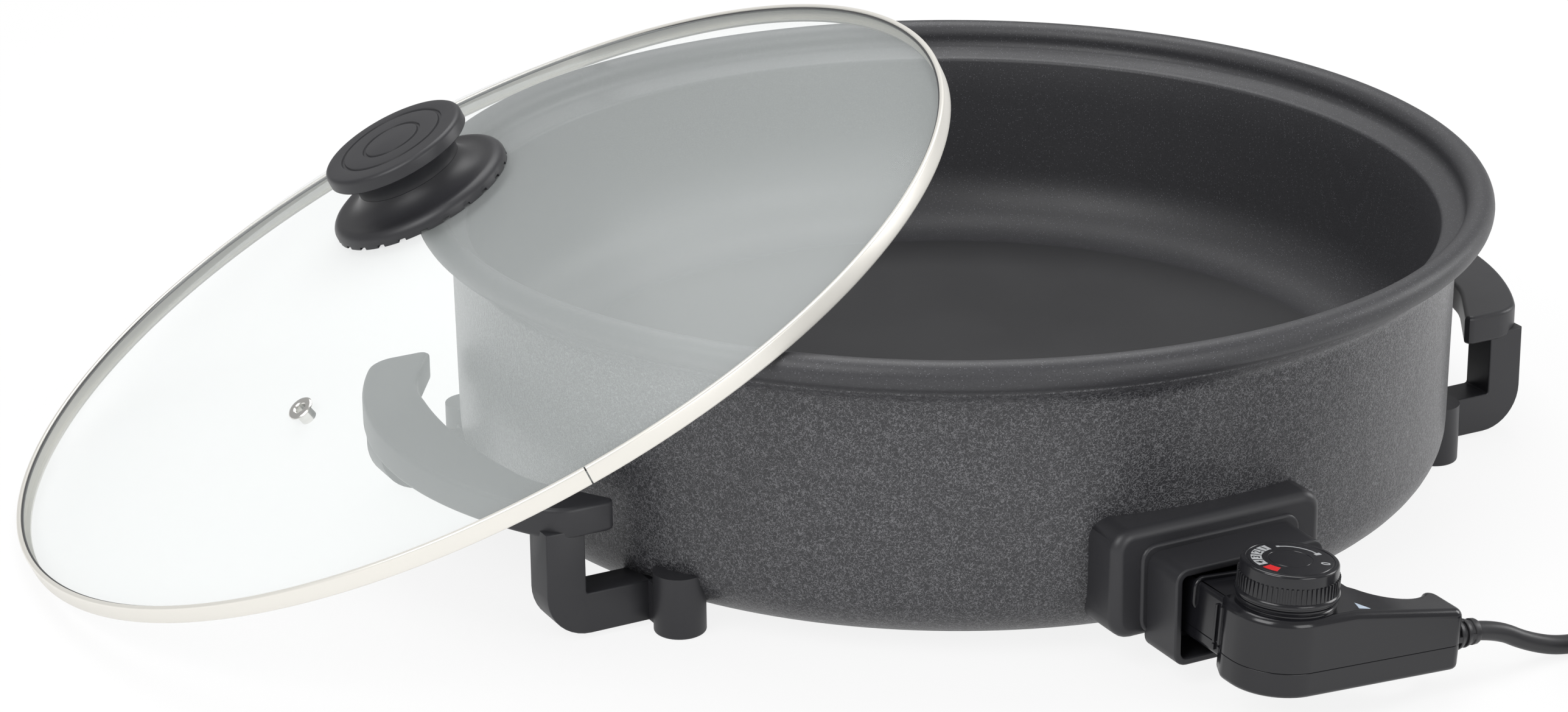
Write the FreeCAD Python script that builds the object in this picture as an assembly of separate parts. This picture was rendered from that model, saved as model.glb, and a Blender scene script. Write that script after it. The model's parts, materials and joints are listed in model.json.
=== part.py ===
import FreeCAD, Part
import math
import os

# Round electric skillet with a lift-off glass lid that leans on its rim, and
# a plug-in thermostat. Millimetres, +Z up, +X through the right-hand bracket,
# origin on the counter under the centre of the pan.

V = FreeCAD.Vector
X_AXIS = V(1, 0, 0)
Y_AXIS = V(0, 1, 0)
Z_AXIS = V(0, 0, 1)

# Running clearances
seat_gap = 0.3
fit_gap = 0.05
face_gap = 0.12

# Inner pan
rim_radius = 210.0
bead_radius = 5.5
rim_top = 121.0
ledge_radius = 198.2
ledge_height = 111.0
ledge_inner_radius = 189.7
ledge_inner_height = 108.4
floor_height = 34.4
floor_radius = 162.5
corner_radius = 25.7
pan_wall = 2.6
pan_floor = 3.1

# Outer shell
shell_radius = 196.0
shell_foot_radius = 195.2
shell_flare = 5.4
shell_flare_height = 9.5
shell_corner_width = 30.7
shell_corner_height = 25.0
shell_bottom = 3.5
shell_wall = 1.2
shell_opening_radius = 140.0
cover_radius = 152.0
cover_thickness = 1.0
cover_rise = 6.0
cover_screw_count = 6

# Brackets: grip, two posts, two beams and two feet in one moulding
grip_reach = 240.0
grip_half_length = 86.0
grip_outer_radius = 146.0
grip_waist_reach = 213.4
grip_shoulder_reach = 206.5
grip_shoulder_half_length = 56.0
grip_end_reach = 189.0
grip_top = 53.0
grip_thickness = 12.0
grip_corner = 16.0
grip_edge = 1.8
post_outer_reach = 216.5
post_width = 15.5
post_front = 85.0
post_depth = 15.0
post_corner = 17.0
beam_bottom = 2.0
beam_height = 16.0
beam_inner_reach = 157.0
foot_radius = 9.75
foot_reach = 168.0
foot_side = 94.0
foot_edge = 1.0
bracket_screw_reach = 166.0
bracket_screw_side = 77.5

# Heating parts
element_tube_radius = 4.0
element_ring_radius = 110.0
element_bend = 14.0
element_end = 190.0
clamp_width = 12.0
clamp_thickness = 1.0
reflector_radius = 135.0
reflector_height = 13.0
reflector_thickness = 0.8
reflector_lip = 5.0

# Socket in the front of the shell
socket_centre = -8.0
terminal_height = 27.0
terminal_pitch = 24.0
pin_radius = 2.5
pin_reach = 222.0
sleeve_wall = 1.0
sleeve_inner_end = 62.0
flange_width = 88.0
flange_bottom = 13.5
flange_height = 42.0
flange_face = 206.0
flange_corner = 8.0
flange_edge = 4.0
frame_width = 62.0
frame_bottom = 9.5
frame_height = 37.0
frame_face = 226.0
frame_wall = 2.8
frame_corner = 5.0
block_width = 46.0
block_height = 18.0
block_back = 186.0
block_face = 203.0

# Lid, in its own frame: origin in the plane of the band's lower edge
band_radius = 198.2
band_sheet = 0.8
band_foot_width = 3.0
lip_width = 2.0
lip_thickness = 1.1
band_joint_width = 0.5
band_joint_heading = -87.5
glass_thickness = 4.0
glass_apex = 50.4
glass_edge_top = 5.3
knob_skirt_radius = 36.0
knob_skirt_height = 11.5
knob_neck_radius = 20.8
knob_top_radius = 28.5
knob_height = 75.0
notch_count = 24
notch_width = 3.0
notch_depth = 1.1
screw_radius = 3.0
screw_head_radius = 5.5
screw_head_height = 1.5
washer_radius = 9.0
washer_thickness = 0.8
vent_uphill = -73.0
vent_side = -95.0
vent_hole_radius = 2.0
vent_tube_radius = 3.2
vent_flange_radius = 5.0
vent_flange_thickness = 0.8

# How the lid leans
lid_tilt = 25.1
lid_heading = -15.0

# Thermostat, drooping a little towards the lead
probe_radius = 3.0
probe_tip = 118.0
plug_droop = 4.3
plug_pivot_height = 29.5
nose_half_width = 24.5
nose_bottom = 18.0
nose_top = 40.5
nose_end = 212.0
case_bottom = 13.5
case_parting = 23.0
case_top = 42.5
case_end_top = 36.0
case_end = 50.0
case_step = 3.5
case_front = 277.0
case_front_end = 275.0
case_back_end = 253.0
case_waist = 261.5
case_waist_at = 30.0
case_shoulder = 250.0
case_corner = 20.0
case_edge = 3.0
rib_count = 3
rib_width = 1.4
rib_pitch = 3.2
rib_depth = 1.0
cavity_half_width = 17.0
cavity_bottom = 19.6
cavity_top = 36.4
cavity_end = 250.0
switch_half_width = 16.0
switch_bottom = 20.9
switch_top = 34.6
switch_front = 249.0
switch_back = 226.0
contact_wall = 1.1
contact_end = 214.0
case_screw_radius = 1.6
case_screw_head = 3.0
case_screw_length = 14.0

# Dial
dial_at = -15.0
dial_side = 257.0
collar_radius = 17.7
collar_height = 2.2
collar_groove = 0.6
dial_base_radius = 18.4
dial_top_radius = 17.2
dial_height = 12.6
dial_ring_height = 2.2
dial_edge = 0.9
dial_rib_count = 60
dial_rib_height = 5.2
dial_rib_depth = 0.45
shaft_radius = 3.0
shaft_bottom = 30.0

# Strain relief and lead
relief_radius = 6.2
relief_tip_radius = 4.3
relief_length = 13.5
relief_height = 22.0
relief_side = 264.0
relief_root = 6.5
relief_slots = 3
cord_diameter = 7.0
cord_lift = 0.1
cord_route = [
    (72.5, -264.3, 15.0),
    (84.0, -265.6, 8.4),
    (99.0, -267.2, 3.6),
    (117.0, -268.0, 3.6),
]
coil_centre = (141.0, -314.0)
coil_outer_radius = 46.0
coil_pitch = 7.7
coil_turns = 2.25
coil_climb_turns = 0.5
tail_length = 34.0

# Mains plug
mains_radius = 18.5
mains_disc = 14.0
mains_grip = 24.0
mains_grip_radius = 11.0
mains_neck_radius = 8.0
mains_relief = 20.0
mains_pin_radius = 2.4
mains_pin_pitch = 19.0
mains_pin_length = 19.0

os.makedirs("parts", exist_ok=True)


def save(name, shape):
    shape.exportStep("parts/" + name + ".step")
    print(name, "valid" if shape.isValid() else "NOT VALID", len(shape.Solids), round(shape.Volume, 1))


def line(a, b):
    return Part.LineSegment(a, b).toShape()


def arc(a, mid, b):
    return Part.Arc(a, mid, b).toShape()


def section(pieces):
    """Closed wire from points and (mid, end) arc pairs, in the XZ plane as (radius, height)."""
    flat = [V(p[0], 0, p[1]) if len(p) == 2 and not isinstance(p[0], tuple) else p for p in pieces]
    edges = []
    here = flat[0]
    for step in flat[1:] + [flat[0]]:
        if isinstance(step, tuple):
            mid = V(step[0][0], 0, step[0][1])
            end = V(step[1][0], 0, step[1][1])
            edges.append(arc(here, mid, end))
            here = end
        elif (step - here).Length > 1e-6:
            edges.append(line(here, step))
            here = step
    return Part.Wire(edges)


def turned(pieces):
    return Part.Face(section(pieces)).revolve(V(0, 0, 0), Z_AXIS, 360)


def prism(wire, depth):
    return Part.Face(wire).extrude(depth)


def block(x0, x1, y0, y1, z0, z1):
    return Part.makeBox(x1 - x0, y1 - y0, z1 - z0, V(x0, y0, z0))


def rod(radius, start, direction, length):
    return Part.makeCylinder(radius, length, start, direction)


def polygon(points):
    return Part.makePolygon([V(*p) for p in points] + [V(*points[0])])


def bend(centre_radius, centre_height, radius, degrees):
    a = math.radians(degrees)
    return (centre_radius + radius * math.cos(a), centre_height + radius * math.sin(a))


def group(shapes):
    return Part.makeCompound(shapes)


def edges_where(shape, test):
    return [e for e in shape.Edges if test(e)]


def mirrored_x(shape):
    return shape.mirror(V(0, 0, 0), X_AXIS)


# Inner pan
bead_height = rim_top - bead_radius
bead_centre = rim_radius - bead_radius
flange_under = ledge_height - 3.1
pan_corner_height = floor_height + corner_radius
pan_side_radius = floor_radius + corner_radius


def make_inner_pan():
    outer_corner = corner_radius + pan_floor
    return turned([
        (0, floor_height),
        (floor_radius, floor_height),
        (bend(floor_radius, pan_corner_height, corner_radius, -45), (pan_side_radius, pan_corner_height)),
        (ledge_inner_radius, ledge_inner_height),
        (ledge_radius, ledge_height),
        (ledge_radius + 0.7, ledge_height + 1.4),
        bend(bead_centre, bead_height, bead_radius, 200),
        (bend(bead_centre, bead_height, bead_radius, 45), bend(bead_centre, bead_height, bead_radius, -90)),
        (bead_centre - 1.4, flange_under),
        (bead_centre - 6.0, flange_under),
        (ledge_inner_radius + pan_wall, ledge_inner_height - pan_floor),
        (pan_side_radius + pan_wall + 0.5, pan_corner_height),
        (bend(floor_radius, pan_corner_height, outer_corner, -45), (floor_radius, floor_height - pan_floor)),
        (0, floor_height - pan_floor),
    ])


def shell_section(grow, wall):
    """Outer shell between its outside, moved outwards by grow, and a wall inside it."""
    def curve(offset):
        side = shell_radius + offset
        foot = shell_foot_radius + offset
        inner = shell_foot_radius - shell_corner_width
        low = shell_bottom - offset
        high = shell_bottom + shell_corner_height
        half = math.sqrt(0.5)
        mid = (inner + (shell_corner_width + offset) * half, high - (shell_corner_height + offset) * half)
        flare_top = flange_under - 1.4
        flare_foot = flange_under - shell_flare_height
        flare_mid = (side + 0.26 * shell_flare, flare_foot + 0.6 * (flare_top - flare_foot))
        return side, foot, inner, low, high, mid, flare_top, flare_foot, flare_mid
    so, fo, io, lo, ho, mo, to, ffo, fmo = curve(grow)
    si, fi, ii, li, hi, mi, ti, ffi, fmi = curve(grow - wall)
    return [
        (so + shell_flare, flange_under),
        (so + shell_flare, to),
        (fmo, (so, ffo)),
        (fo, ho),
        (mo, (io, lo)),
        (shell_opening_radius, lo),
        (shell_opening_radius, li),
        (ii, li),
        (mi, (fi, hi)),
        (si, ffi),
        (fmi, (si + shell_flare, ti)),
        (si + shell_flare, flange_under),
    ]


def shell_envelope(grow):
    """Everything inside the outer shell, grown by a clearance, for cutting what seats on it."""
    side = shell_radius + grow
    foot = shell_foot_radius + grow
    inner = shell_foot_radius - shell_corner_width
    low = shell_bottom - grow
    high = shell_bottom + shell_corner_height
    half = math.sqrt(0.5)
    mid = (inner + (shell_corner_width + grow) * half, high - (shell_corner_height + grow) * half)
    return turned([
        (0, rim_top),
        (side, rim_top),
        (side, flange_under - shell_flare_height),
        (foot, high),
        (mid, (inner, low)),
        (0, low),
    ])


bracket_screw_places = [
    (sx * bracket_screw_reach, sy * bracket_screw_side) for sx in (-1, 1) for sy in (-1, 1)
]
bracket_screw_shank = 2.0
bracket_screw_head = 4.0
nut_radius = 4.4
nut_height = 3.0
nut_seat = 14.2


def make_outer_shell():
    shell = turned(shell_section(0.0, shell_wall))
    half = block_width / 2 + face_gap
    rise = block_height / 2 + face_gap
    slot = block(socket_centre - half, socket_centre + half, -shell_radius - 8, -shell_radius + 20,
                 terminal_height - rise, terminal_height + rise)
    shell = shell.cut(slot)
    for x, y in bracket_screw_places:
        shell = shell.cut(rod(bracket_screw_shank + fit_gap, V(x, y, 0), Z_AXIS, 24))
    for x, z in socket_screw_places:
        shell = shell.cut(rod(socket_screw_shank + fit_gap, V(x, -shell_radius - 8, z), Y_AXIS, 20))
    for x, y in cover_screw_places:
        shell = shell.cut(rod(cover_screw_shank + fit_gap, V(x, y, 0), Z_AXIS, 8))
    return shell


# Base cover and its screws
cover_screw_circle = (shell_opening_radius + cover_radius) / 2
cover_screw_shank = 1.5
cover_screw_head = 3.0
cover_screw_places = [
    (cover_screw_circle * math.cos(math.radians(a)), cover_screw_circle * math.sin(math.radians(a)))
    for a in range(0, 360, 360 // cover_screw_count)
]
cover_top = shell_bottom - face_gap


def make_base_cover():
    low = cover_top - cover_thickness
    step = shell_opening_radius - 4.0
    well = step - 8.0
    cover = turned([
        (0, low + cover_rise),
        (well, low + cover_rise),
        (step, low),
        (cover_radius, low),
        (cover_radius, cover_top),
        (step - 0.4, cover_top),
        (well - 0.4, cover_top + cover_rise),
        (0, cover_top + cover_rise),
    ])
    for ring, count in ((45.0, 8), (70.0, 12), (95.0, 16)):
        for k in range(count):
            a = 360.0 * k / count
            slot = block(ring - 8, ring + 8, -1.6, 1.6, 0, 20)
            slot.rotate(V(0, 0, 0), Z_AXIS, a)
            cover = cover.cut(slot)
    for x, y in cover_screw_places:
        cover = cover.cut(rod(cover_screw_shank + fit_gap, V(x, y, 0), Z_AXIS, 8))
    return cover


def make_base_screws():
    screws = []
    low = cover_top - cover_thickness
    for x, y in cover_screw_places:
        head = rod(cover_screw_head, V(x, y, low - 1.4), Z_AXIS, 1.4 - 0.02)
        head = head.makeFillet(0.7, edges_where(head, lambda e: e.BoundBox.ZMax < low - 1.3 and len(e.Vertexes) == 1))
        screws.append(head.fuse(rod(cover_screw_shank, V(x, y, low - 0.1), Z_AXIS, 5.0)))
    return group(screws)


# Brackets
def make_bracket(side):
    zb = grip_top - grip_thickness
    outer_end = grip_reach - grip_outer_radius + math.sqrt(grip_outer_radius ** 2 - grip_half_length ** 2)
    L = grip_half_length
    s = grip_shoulder_half_length

    def p(x, y):
        return V(x, y, zb)

    outline = Part.Wire([
        arc(p(outer_end, -L), p(grip_reach, 0), p(outer_end, L)),
        line(p(outer_end, L), p(grip_end_reach, L - 2)),
        line(p(grip_end_reach, L - 2), p(grip_shoulder_reach, s)),
        arc(p(grip_shoulder_reach, s), p(grip_waist_reach, 0), p(grip_shoulder_reach, -s)),
        line(p(grip_shoulder_reach, -s), p(grip_end_reach, -L + 2)),
        line(p(grip_end_reach, -L + 2), p(outer_end, -L)),
    ])
    grip = prism(outline, V(0, 0, grip_thickness))

    def upright(e):
        return abs(e.tangentAt(e.FirstParameter).z) > 0.99

    corners = edges_where(grip, lambda e: upright(e) and e.BoundBox.XMin > grip_shoulder_reach + 1)
    grip = grip.makeFillet(grip_corner, corners)
    ends = edges_where(grip, lambda e: upright(e) and e.BoundBox.XMax < grip_end_reach + 1)
    grip = grip.makeFillet(3.0, ends)
    shoulders = edges_where(grip, lambda e: upright(e) and abs(e.BoundBox.XMin - grip_shoulder_reach) < 0.5
                            and abs(abs(e.BoundBox.YMin) - s) < 0.5)
    grip = grip.makeFillet(12.0, shoulders)
    rims = edges_where(grip, lambda e: e.BoundBox.ZLength < 1e-4)
    grip = grip.makeFillet(grip_edge, rims)

    legs = []
    for sy in (-1, 1):
        y0 = sy * post_front if sy < 0 else post_front - post_depth
        profile = Part.Wire([
            line(V(post_outer_reach - post_width, y0, zb + 3), V(post_outer_reach, y0, zb + 3)),
            line(V(post_outer_reach, y0, zb + 3), V(post_outer_reach, y0, beam_bottom + post_corner)),
            arc(V(post_outer_reach, y0, beam_bottom + post_corner),
                V(post_outer_reach - post_corner * (1 - math.sqrt(0.5)), y0,
                  beam_bottom + post_corner * (1 - math.sqrt(0.5))),
                V(post_outer_reach - post_corner, y0, beam_bottom)),
            line(V(post_outer_reach - post_corner, y0, beam_bottom), V(beam_inner_reach, y0, beam_bottom)),
            line(V(beam_inner_reach, y0, beam_bottom), V(beam_inner_reach, y0, beam_bottom + beam_height)),
            line(V(beam_inner_reach, y0, beam_bottom + beam_height),
                 V(post_outer_reach - post_width, y0, beam_bottom + beam_height)),
            line(V(post_outer_reach - post_width, y0, beam_bottom + beam_height),
                 V(post_outer_reach - post_width, y0, zb + 3)),
        ])
        leg = prism(profile, V(0, post_depth, 0))
        foot = rod(foot_radius, V(foot_reach, sy * foot_side, 0), Z_AXIS, beam_bottom + beam_height + 6)
        foot = foot.makeFillet(foot_edge, edges_where(foot, lambda e: e.BoundBox.ZMax < 0.1 and len(e.Vertexes) == 1))
        web_y0 = min(sy * (post_front - 6), sy * foot_side)
        web_y1 = max(sy * (post_front - 6), sy * foot_side)
        web = block(foot_reach - foot_radius + 1.5, foot_reach + foot_radius - 1.5, web_y0, web_y1,
                    beam_bottom, beam_bottom + beam_height)
        legs += [leg, foot, web]
    bracket = grip.multiFuse(legs)
    bracket = bracket.cut(shell_envelope(face_gap))
    for sy in (-1, 1):
        x = bracket_screw_reach
        y = sy * bracket_screw_side
        bracket = bracket.cut(rod(bracket_screw_shank + fit_gap, V(x, y, 0), Z_AXIS, 30))
        bracket = bracket.cut(rod(bracket_screw_head + 0.2, V(x, y, 0), Z_AXIS, beam_bottom + 2.2))
    bracket = bracket.removeSplitter()
    if side < 0:
        bracket = mirrored_x(bracket)
    return bracket


def make_bracket_screws():
    screws = []
    for x, y in bracket_screw_places:
        head = rod(bracket_screw_head, V(x, y, beam_bottom + 0.2), Z_AXIS, 1.9)
        shank = rod(bracket_screw_shank, V(x, y, beam_bottom + 1.0), Z_AXIS, nut_seat + nut_height - beam_bottom)
        screws.append(head.fuse(shank))
    return group(screws)


def make_bracket_nuts():
    nuts = []
    for x, y in bracket_screw_places:
        ring = [(x + nut_radius * math.cos(math.radians(60 * k)), y + nut_radius * math.sin(math.radians(60 * k)),
                 nut_seat) for k in range(6)]
        nut = prism(polygon(ring), V(0, 0, nut_height))
        nuts.append(nut.cut(rod(bracket_screw_shank + fit_gap, V(x, y, 0), Z_AXIS, 30)))
    return group(nuts)


# Heating element, clamps, reflector and sensor sleeve
element_height = floor_height - pan_floor - element_tube_radius - face_gap
leg_places = (socket_centre - terminal_pitch / 2, socket_centre + terminal_pitch / 2)


def element_path():
    f = element_bend
    R = element_ring_radius
    z = element_height
    left, right = leg_places
    cl = (left - f, -math.sqrt((R + f) ** 2 - (left - f) ** 2))
    cr = (right + f, -math.sqrt((R + f) ** 2 - (right + f) ** 2))
    tl = (cl[0] * R / (R + f), cl[1] * R / (R + f))
    tr = (cr[0] * R / (R + f), cr[1] * R / (R + f))
    al = math.atan2(tl[1] - cl[1], tl[0] - cl[0])
    ar = math.atan2(tr[1] - cr[1], tr[0] - cr[0])
    mid_l = (cl[0] + f * math.cos(al / 2), cl[1] + f * math.sin(al / 2))
    half_r = (ar + math.pi) / 2
    mid_r = (cr[0] + f * math.cos(half_r), cr[1] + f * math.sin(half_r))
    drop = terminal_height
    return Part.Wire([
        line(V(left, -element_end, drop), V(left, cl[1], drop)),
        arc(V(left, cl[1], drop), V(mid_l[0], mid_l[1], drop), V(tl[0], tl[1], drop)),
        arc(V(tl[0], tl[1], drop), V(-R, 0, drop), V(0, R, drop)),
        arc(V(0, R, drop), V(R, 0, drop), V(tr[0], tr[1], drop)),
        arc(V(tr[0], tr[1], drop), V(mid_r[0], mid_r[1], drop), V(right, cr[1], drop)),
        line(V(right, cr[1], drop), V(right, -element_end, drop)),
    ])


def make_heating_element():
    path = element_path()
    ring = Part.Wire(Part.makeCircle(element_tube_radius, V(leg_places[0], -element_end, terminal_height), Y_AXIS))
    return path.makePipeShell([ring], True, False)


def make_element_clamps():
    """Three saddles that hold the element ring against the underside of the pan."""
    clamps = []
    top = floor_height - pan_floor - face_gap
    r_in = element_tube_radius + fit_gap
    r_out = r_in + clamp_thickness
    R = element_ring_radius
    w = clamp_width / 2
    ear = r_out + 9.0
    for a in (15, 90, 165):
        arch = Part.makeCylinder(r_out, clamp_width, V(0, -w, 0), Y_AXIS)
        arch = arch.cut(block(-r_out - 1, r_out + 1, -w - 1, w + 1, 0, r_out + 1))
        walls = block(-r_out, r_out, -w, w, 0, top - terminal_height)
        ears = block(-ear, ear, -w, w, top - terminal_height - clamp_thickness, top - terminal_height)
        clamp = arch.fuse(walls).fuse(ears)
        inside = Part.makeCylinder(r_in, clamp_width + 2, V(0, -w - 1, 0), Y_AXIS)
        clamp = clamp.cut(inside)
        clamp = clamp.cut(block(-r_in, r_in, -w - 1, w + 1, 0, top))
        clamp = clamp.cut(rod(1.6, V(r_out + 5, 0, 0), Z_AXIS, 10))
        clamp = clamp.cut(rod(1.6, V(-r_out - 5, 0, 0), Z_AXIS, 10))
        ring_gap = Part.makeTorus(R, r_in, V(-R, 0, 0), Z_AXIS)
        clamp = clamp.cut(ring_gap)
        clamp.translate(V(R, 0, terminal_height))
        clamp.rotate(V(0, 0, 0), Z_AXIS, a)
        clamps.append(clamp)
    return group(clamps)


def make_heat_reflector():
    z = reflector_height
    t = reflector_thickness
    plate = turned([
        (0, z),
        (reflector_radius - 3, z),
        ((reflector_radius - 0.9, z + 0.9), (reflector_radius, z + 3)),
        (reflector_radius, z + reflector_lip),
        (reflector_radius - t, z + reflector_lip),
        (reflector_radius - t, z + 3),
        ((reflector_radius - 0.6 - t, z + 0.6 + t), (reflector_radius - 3, z + t)),
        (0, z + t),
    ])
    for a in (45, 165, 285):
        x = (reflector_radius - 15) * math.cos(math.radians(a))
        y = (reflector_radius - 15) * math.sin(math.radians(a))
        low = cover_top + cover_rise + face_gap
        plate = plate.fuse(rod(4.0, V(x, y, low), Z_AXIS, z - low + 0.2))
    return plate


sleeve_radius = probe_radius + fit_gap + sleeve_wall


def make_sensor_sleeve():
    tube = rod(sleeve_radius, V(socket_centre, -block_back + face_gap, terminal_height), Y_AXIS,
               block_back - sleeve_inner_end)
    bore = rod(probe_radius + fit_gap, V(socket_centre, -block_back - 1, terminal_height), Y_AXIS,
               block_back - sleeve_inner_end - 2)
    return tube.cut(bore)


def make_terminal_block():
    w = block_width / 2
    h = block_height / 2
    y0 = -block_face
    y1 = -block_back
    body = block(socket_centre - w, socket_centre + w, y0, y1, terminal_height - h, terminal_height + h)
    upright = edges_where(body, lambda e: abs(e.tangentAt(e.FirstParameter).y) > 0.99)
    body = body.makeFillet(3.0, upright)
    for x in leg_places:
        body = body.cut(rod(pin_radius + fit_gap, V(x, y0 - 1, terminal_height), Y_AXIS, 40))
        body = body.cut(rod(element_tube_radius + fit_gap, V(x, -element_end - fit_gap, terminal_height), Y_AXIS, 20))
    body = body.cut(rod(probe_radius + 0.4, V(socket_centre, y0 - 1, terminal_height), Y_AXIS, 40))
    return body


def make_terminal_pins():
    pins = []
    for x in leg_places:
        pin = rod(pin_radius, V(x, -pin_reach, terminal_height), Y_AXIS, pin_reach - element_end)
        tip = edges_where(pin, lambda e: e.BoundBox.YMax < -pin_reach + 0.1 and len(e.Vertexes) == 1)
        pins.append(pin.makeFillet(1.2, tip))
    return group(pins)


# Socket: flange on the shell and the frame that takes the thermostat
socket_screw_shank = 1.75
socket_screw_head = 3.2
socket_screw_inset = 6.2
flange_mid = flange_bottom + flange_height / 2
socket_screw_places = [
    (socket_centre + sx * (flange_width / 2 - socket_screw_inset - 0.8), flange_mid)
    for sx in (-1, 1)
]


def rounded_box(x0, x1, y0, y1, z0, z1, corner):
    body = block(x0, x1, y0, y1, z0, z1)
    lengthwise = edges_where(body, lambda e: abs(e.tangentAt(e.FirstParameter).y) > 0.99)
    return body.makeFillet(corner, lengthwise)


def make_socket_flange():
    w = flange_width / 2
    body = rounded_box(socket_centre - w, socket_centre + w, -flange_face, -180,
                       flange_bottom, flange_bottom + flange_height, flange_corner)
    front = edges_where(body, lambda e: e.BoundBox.YMax < -flange_face + 0.1)
    body = body.makeFillet(flange_edge, front)
    body = body.cut(shell_envelope(face_gap))
    bw = block_width / 2 + 0.15
    bh = block_height / 2 + 0.15
    body = body.cut(block(socket_centre - bw, socket_centre + bw, -flange_face - 1, -180,
                          terminal_height - bh, terminal_height + bh))
    for x, z in socket_screw_places:
        body = body.cut(rod(socket_screw_shank + fit_gap, V(x, -flange_face - 1, z), Y_AXIS, 30))
        body = body.cut(rod(socket_screw_head + 0.2, V(x, -flange_face - 1, z), Y_AXIS, 3.0))
    return body


def make_socket_frame():
    w = frame_width / 2
    body = rounded_box(socket_centre - w, socket_centre + w, -frame_face, -flange_face - face_gap,
                       frame_bottom, frame_bottom + frame_height, frame_corner)
    front = edges_where(body, lambda e: e.BoundBox.YMax < -frame_face + 0.1)
    body = body.makeFillet(1.0, front)
    inner = rounded_box(socket_centre - w + frame_wall, socket_centre + w - frame_wall, -frame_face - 1,
                        -flange_face - face_gap - 2.0, frame_bottom + frame_wall,
                        frame_bottom + frame_height - frame_wall, frame_corner - frame_wall + 0.6)
    body = body.cut(inner)
    bw = block_width / 2 - 3.0
    bh = block_height / 2 - 1.5
    body = body.cut(block(socket_centre - bw, socket_centre + bw, -frame_face, -180,
                          terminal_height - bh, terminal_height + bh))
    return body


def make_socket_screws():
    screws = []
    for x, z in socket_screw_places:
        head = rod(socket_screw_head, V(x, -flange_face + 0.2, z), Y_AXIS, 1.75)
        shank = rod(socket_screw_shank, V(x, -flange_face + 1.0, z), Y_AXIS, 17)
        screws.append(head.fuse(shank))
    return group(screws)


# Lid, modelled level and then leant against the rim
glass_edge_radius = band_radius - band_sheet - seat_gap
glass_rise = glass_apex - glass_edge_top
dome_radius = (glass_edge_radius ** 2 + glass_rise ** 2) / (2 * glass_rise)
dome_centre = glass_apex - dome_radius
under_radius = dome_radius - glass_thickness
under_apex = glass_apex - glass_thickness


def dome_at(radius, sphere):
    return dome_centre + math.sqrt(sphere ** 2 - radius ** 2)


def rim_height_over(distance):
    """Height of the bead's surface at a distance from the pan's axis."""
    return bead_height + math.sqrt(max(bead_radius ** 2 - (distance - bead_centre) ** 2, 0.0))


def lid_contact(offset, tilt):
    """Height of the band plane's centre when the band's foot just clears the bead."""
    best = 0.0
    steps = 1440
    rings = 8
    for ring in range(rings + 1):
        radius = band_radius - band_foot_width * ring / rings
        for k in range(steps + 1):
            a = math.pi * k / steps
            x = -offset + radius * math.cos(tilt) * math.cos(a)
            far = math.hypot(x, radius * math.sin(a))
            if abs(far - bead_centre) < bead_radius:
                best = max(best, rim_height_over(far) - radius * math.sin(tilt) * math.cos(a))
    return best


def solve_lid():
    """Offset and height of the lid that rests on the rim at two points and on the counter."""
    tilt = math.radians(lid_tilt)
    low, high = 0.7 * band_radius, 1.05 * band_radius
    for _ in range(40):
        offset = (low + high) / 2
        height = lid_contact(offset, tilt)
        if height - band_radius * math.sin(tilt) > 0:
            low = offset
        else:
            high = offset
    return offset, height + seat_gap / math.cos(tilt)


lid_offset, lid_height = solve_lid()
heading = math.radians(lid_heading)
lid_place = V(-lid_offset * math.cos(heading), -lid_offset * math.sin(heading), lid_height)


def lean(shape):
    shape.rotate(V(0, 0, 0), Y_AXIS, -lid_tilt)
    shape.rotate(V(0, 0, 0), Z_AXIS, lid_heading)
    shape.translate(lid_place)
    return shape


vent_up = math.sqrt(dome_radius ** 2 - vent_uphill ** 2 - vent_side ** 2)
vent_axis = V(vent_uphill, vent_side, vent_up)
vent_axis.normalize()


def along_vent(shape):
    """Turn a shape built on +Z from the dome's centre so that it stands on the vent."""
    turn = FreeCAD.Rotation(Z_AXIS, vent_axis)
    shape.Placement = FreeCAD.Placement(V(0, 0, dome_centre), turn).multiply(shape.Placement)
    return shape


def make_lid_glass():
    bulge = (glass_edge_radius / 2, dome_at(glass_edge_radius / 2, dome_radius))
    under_bulge = (glass_edge_radius / 2, dome_at(glass_edge_radius / 2, under_radius))
    glass = turned([
        (0, glass_apex),
        (bulge, (glass_edge_radius, glass_edge_top)),
        (glass_edge_radius, dome_at(glass_edge_radius, under_radius)),
        (under_bulge, (0, under_apex)),
    ])
    glass = glass.cut(rod(screw_radius + 0.4, V(0, 0, 0), Z_AXIS, 80))
    glass = glass.cut(along_vent(rod(vent_tube_radius + fit_gap, V(0, 0, 0), Z_AXIS, dome_radius + 5)))
    return lean(glass)


def make_lid_band():
    r = band_radius
    lip_low = dome_at(r - lip_width, dome_radius) + face_gap
    lip_high = lip_low + lip_thickness
    band = turned([
        (r - band_foot_width, 0),
        (r - 0.8, 0),
        ((r - 0.24, 0.24), (r, 0.8)),
        (r, lip_high - 0.9),
        ((r - 0.26, lip_high - 0.26), (r - 0.9, lip_high)),
        (r - lip_width + 0.4, lip_high),
        ((r - lip_width, (lip_high + lip_low) / 2), (r - lip_width + 0.4, lip_low)),
        (r - band_sheet, lip_low),
        (r - band_sheet, band_sheet),
        (r - band_foot_width, band_sheet),
    ])
    joint = block(r - band_foot_width - 1, r + 1, -band_joint_width / 2, band_joint_width / 2, -1, lip_high + 1)
    joint.rotate(V(0, 0, 0), Z_AXIS, band_joint_heading)
    return lean(band.cut(joint))


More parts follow.
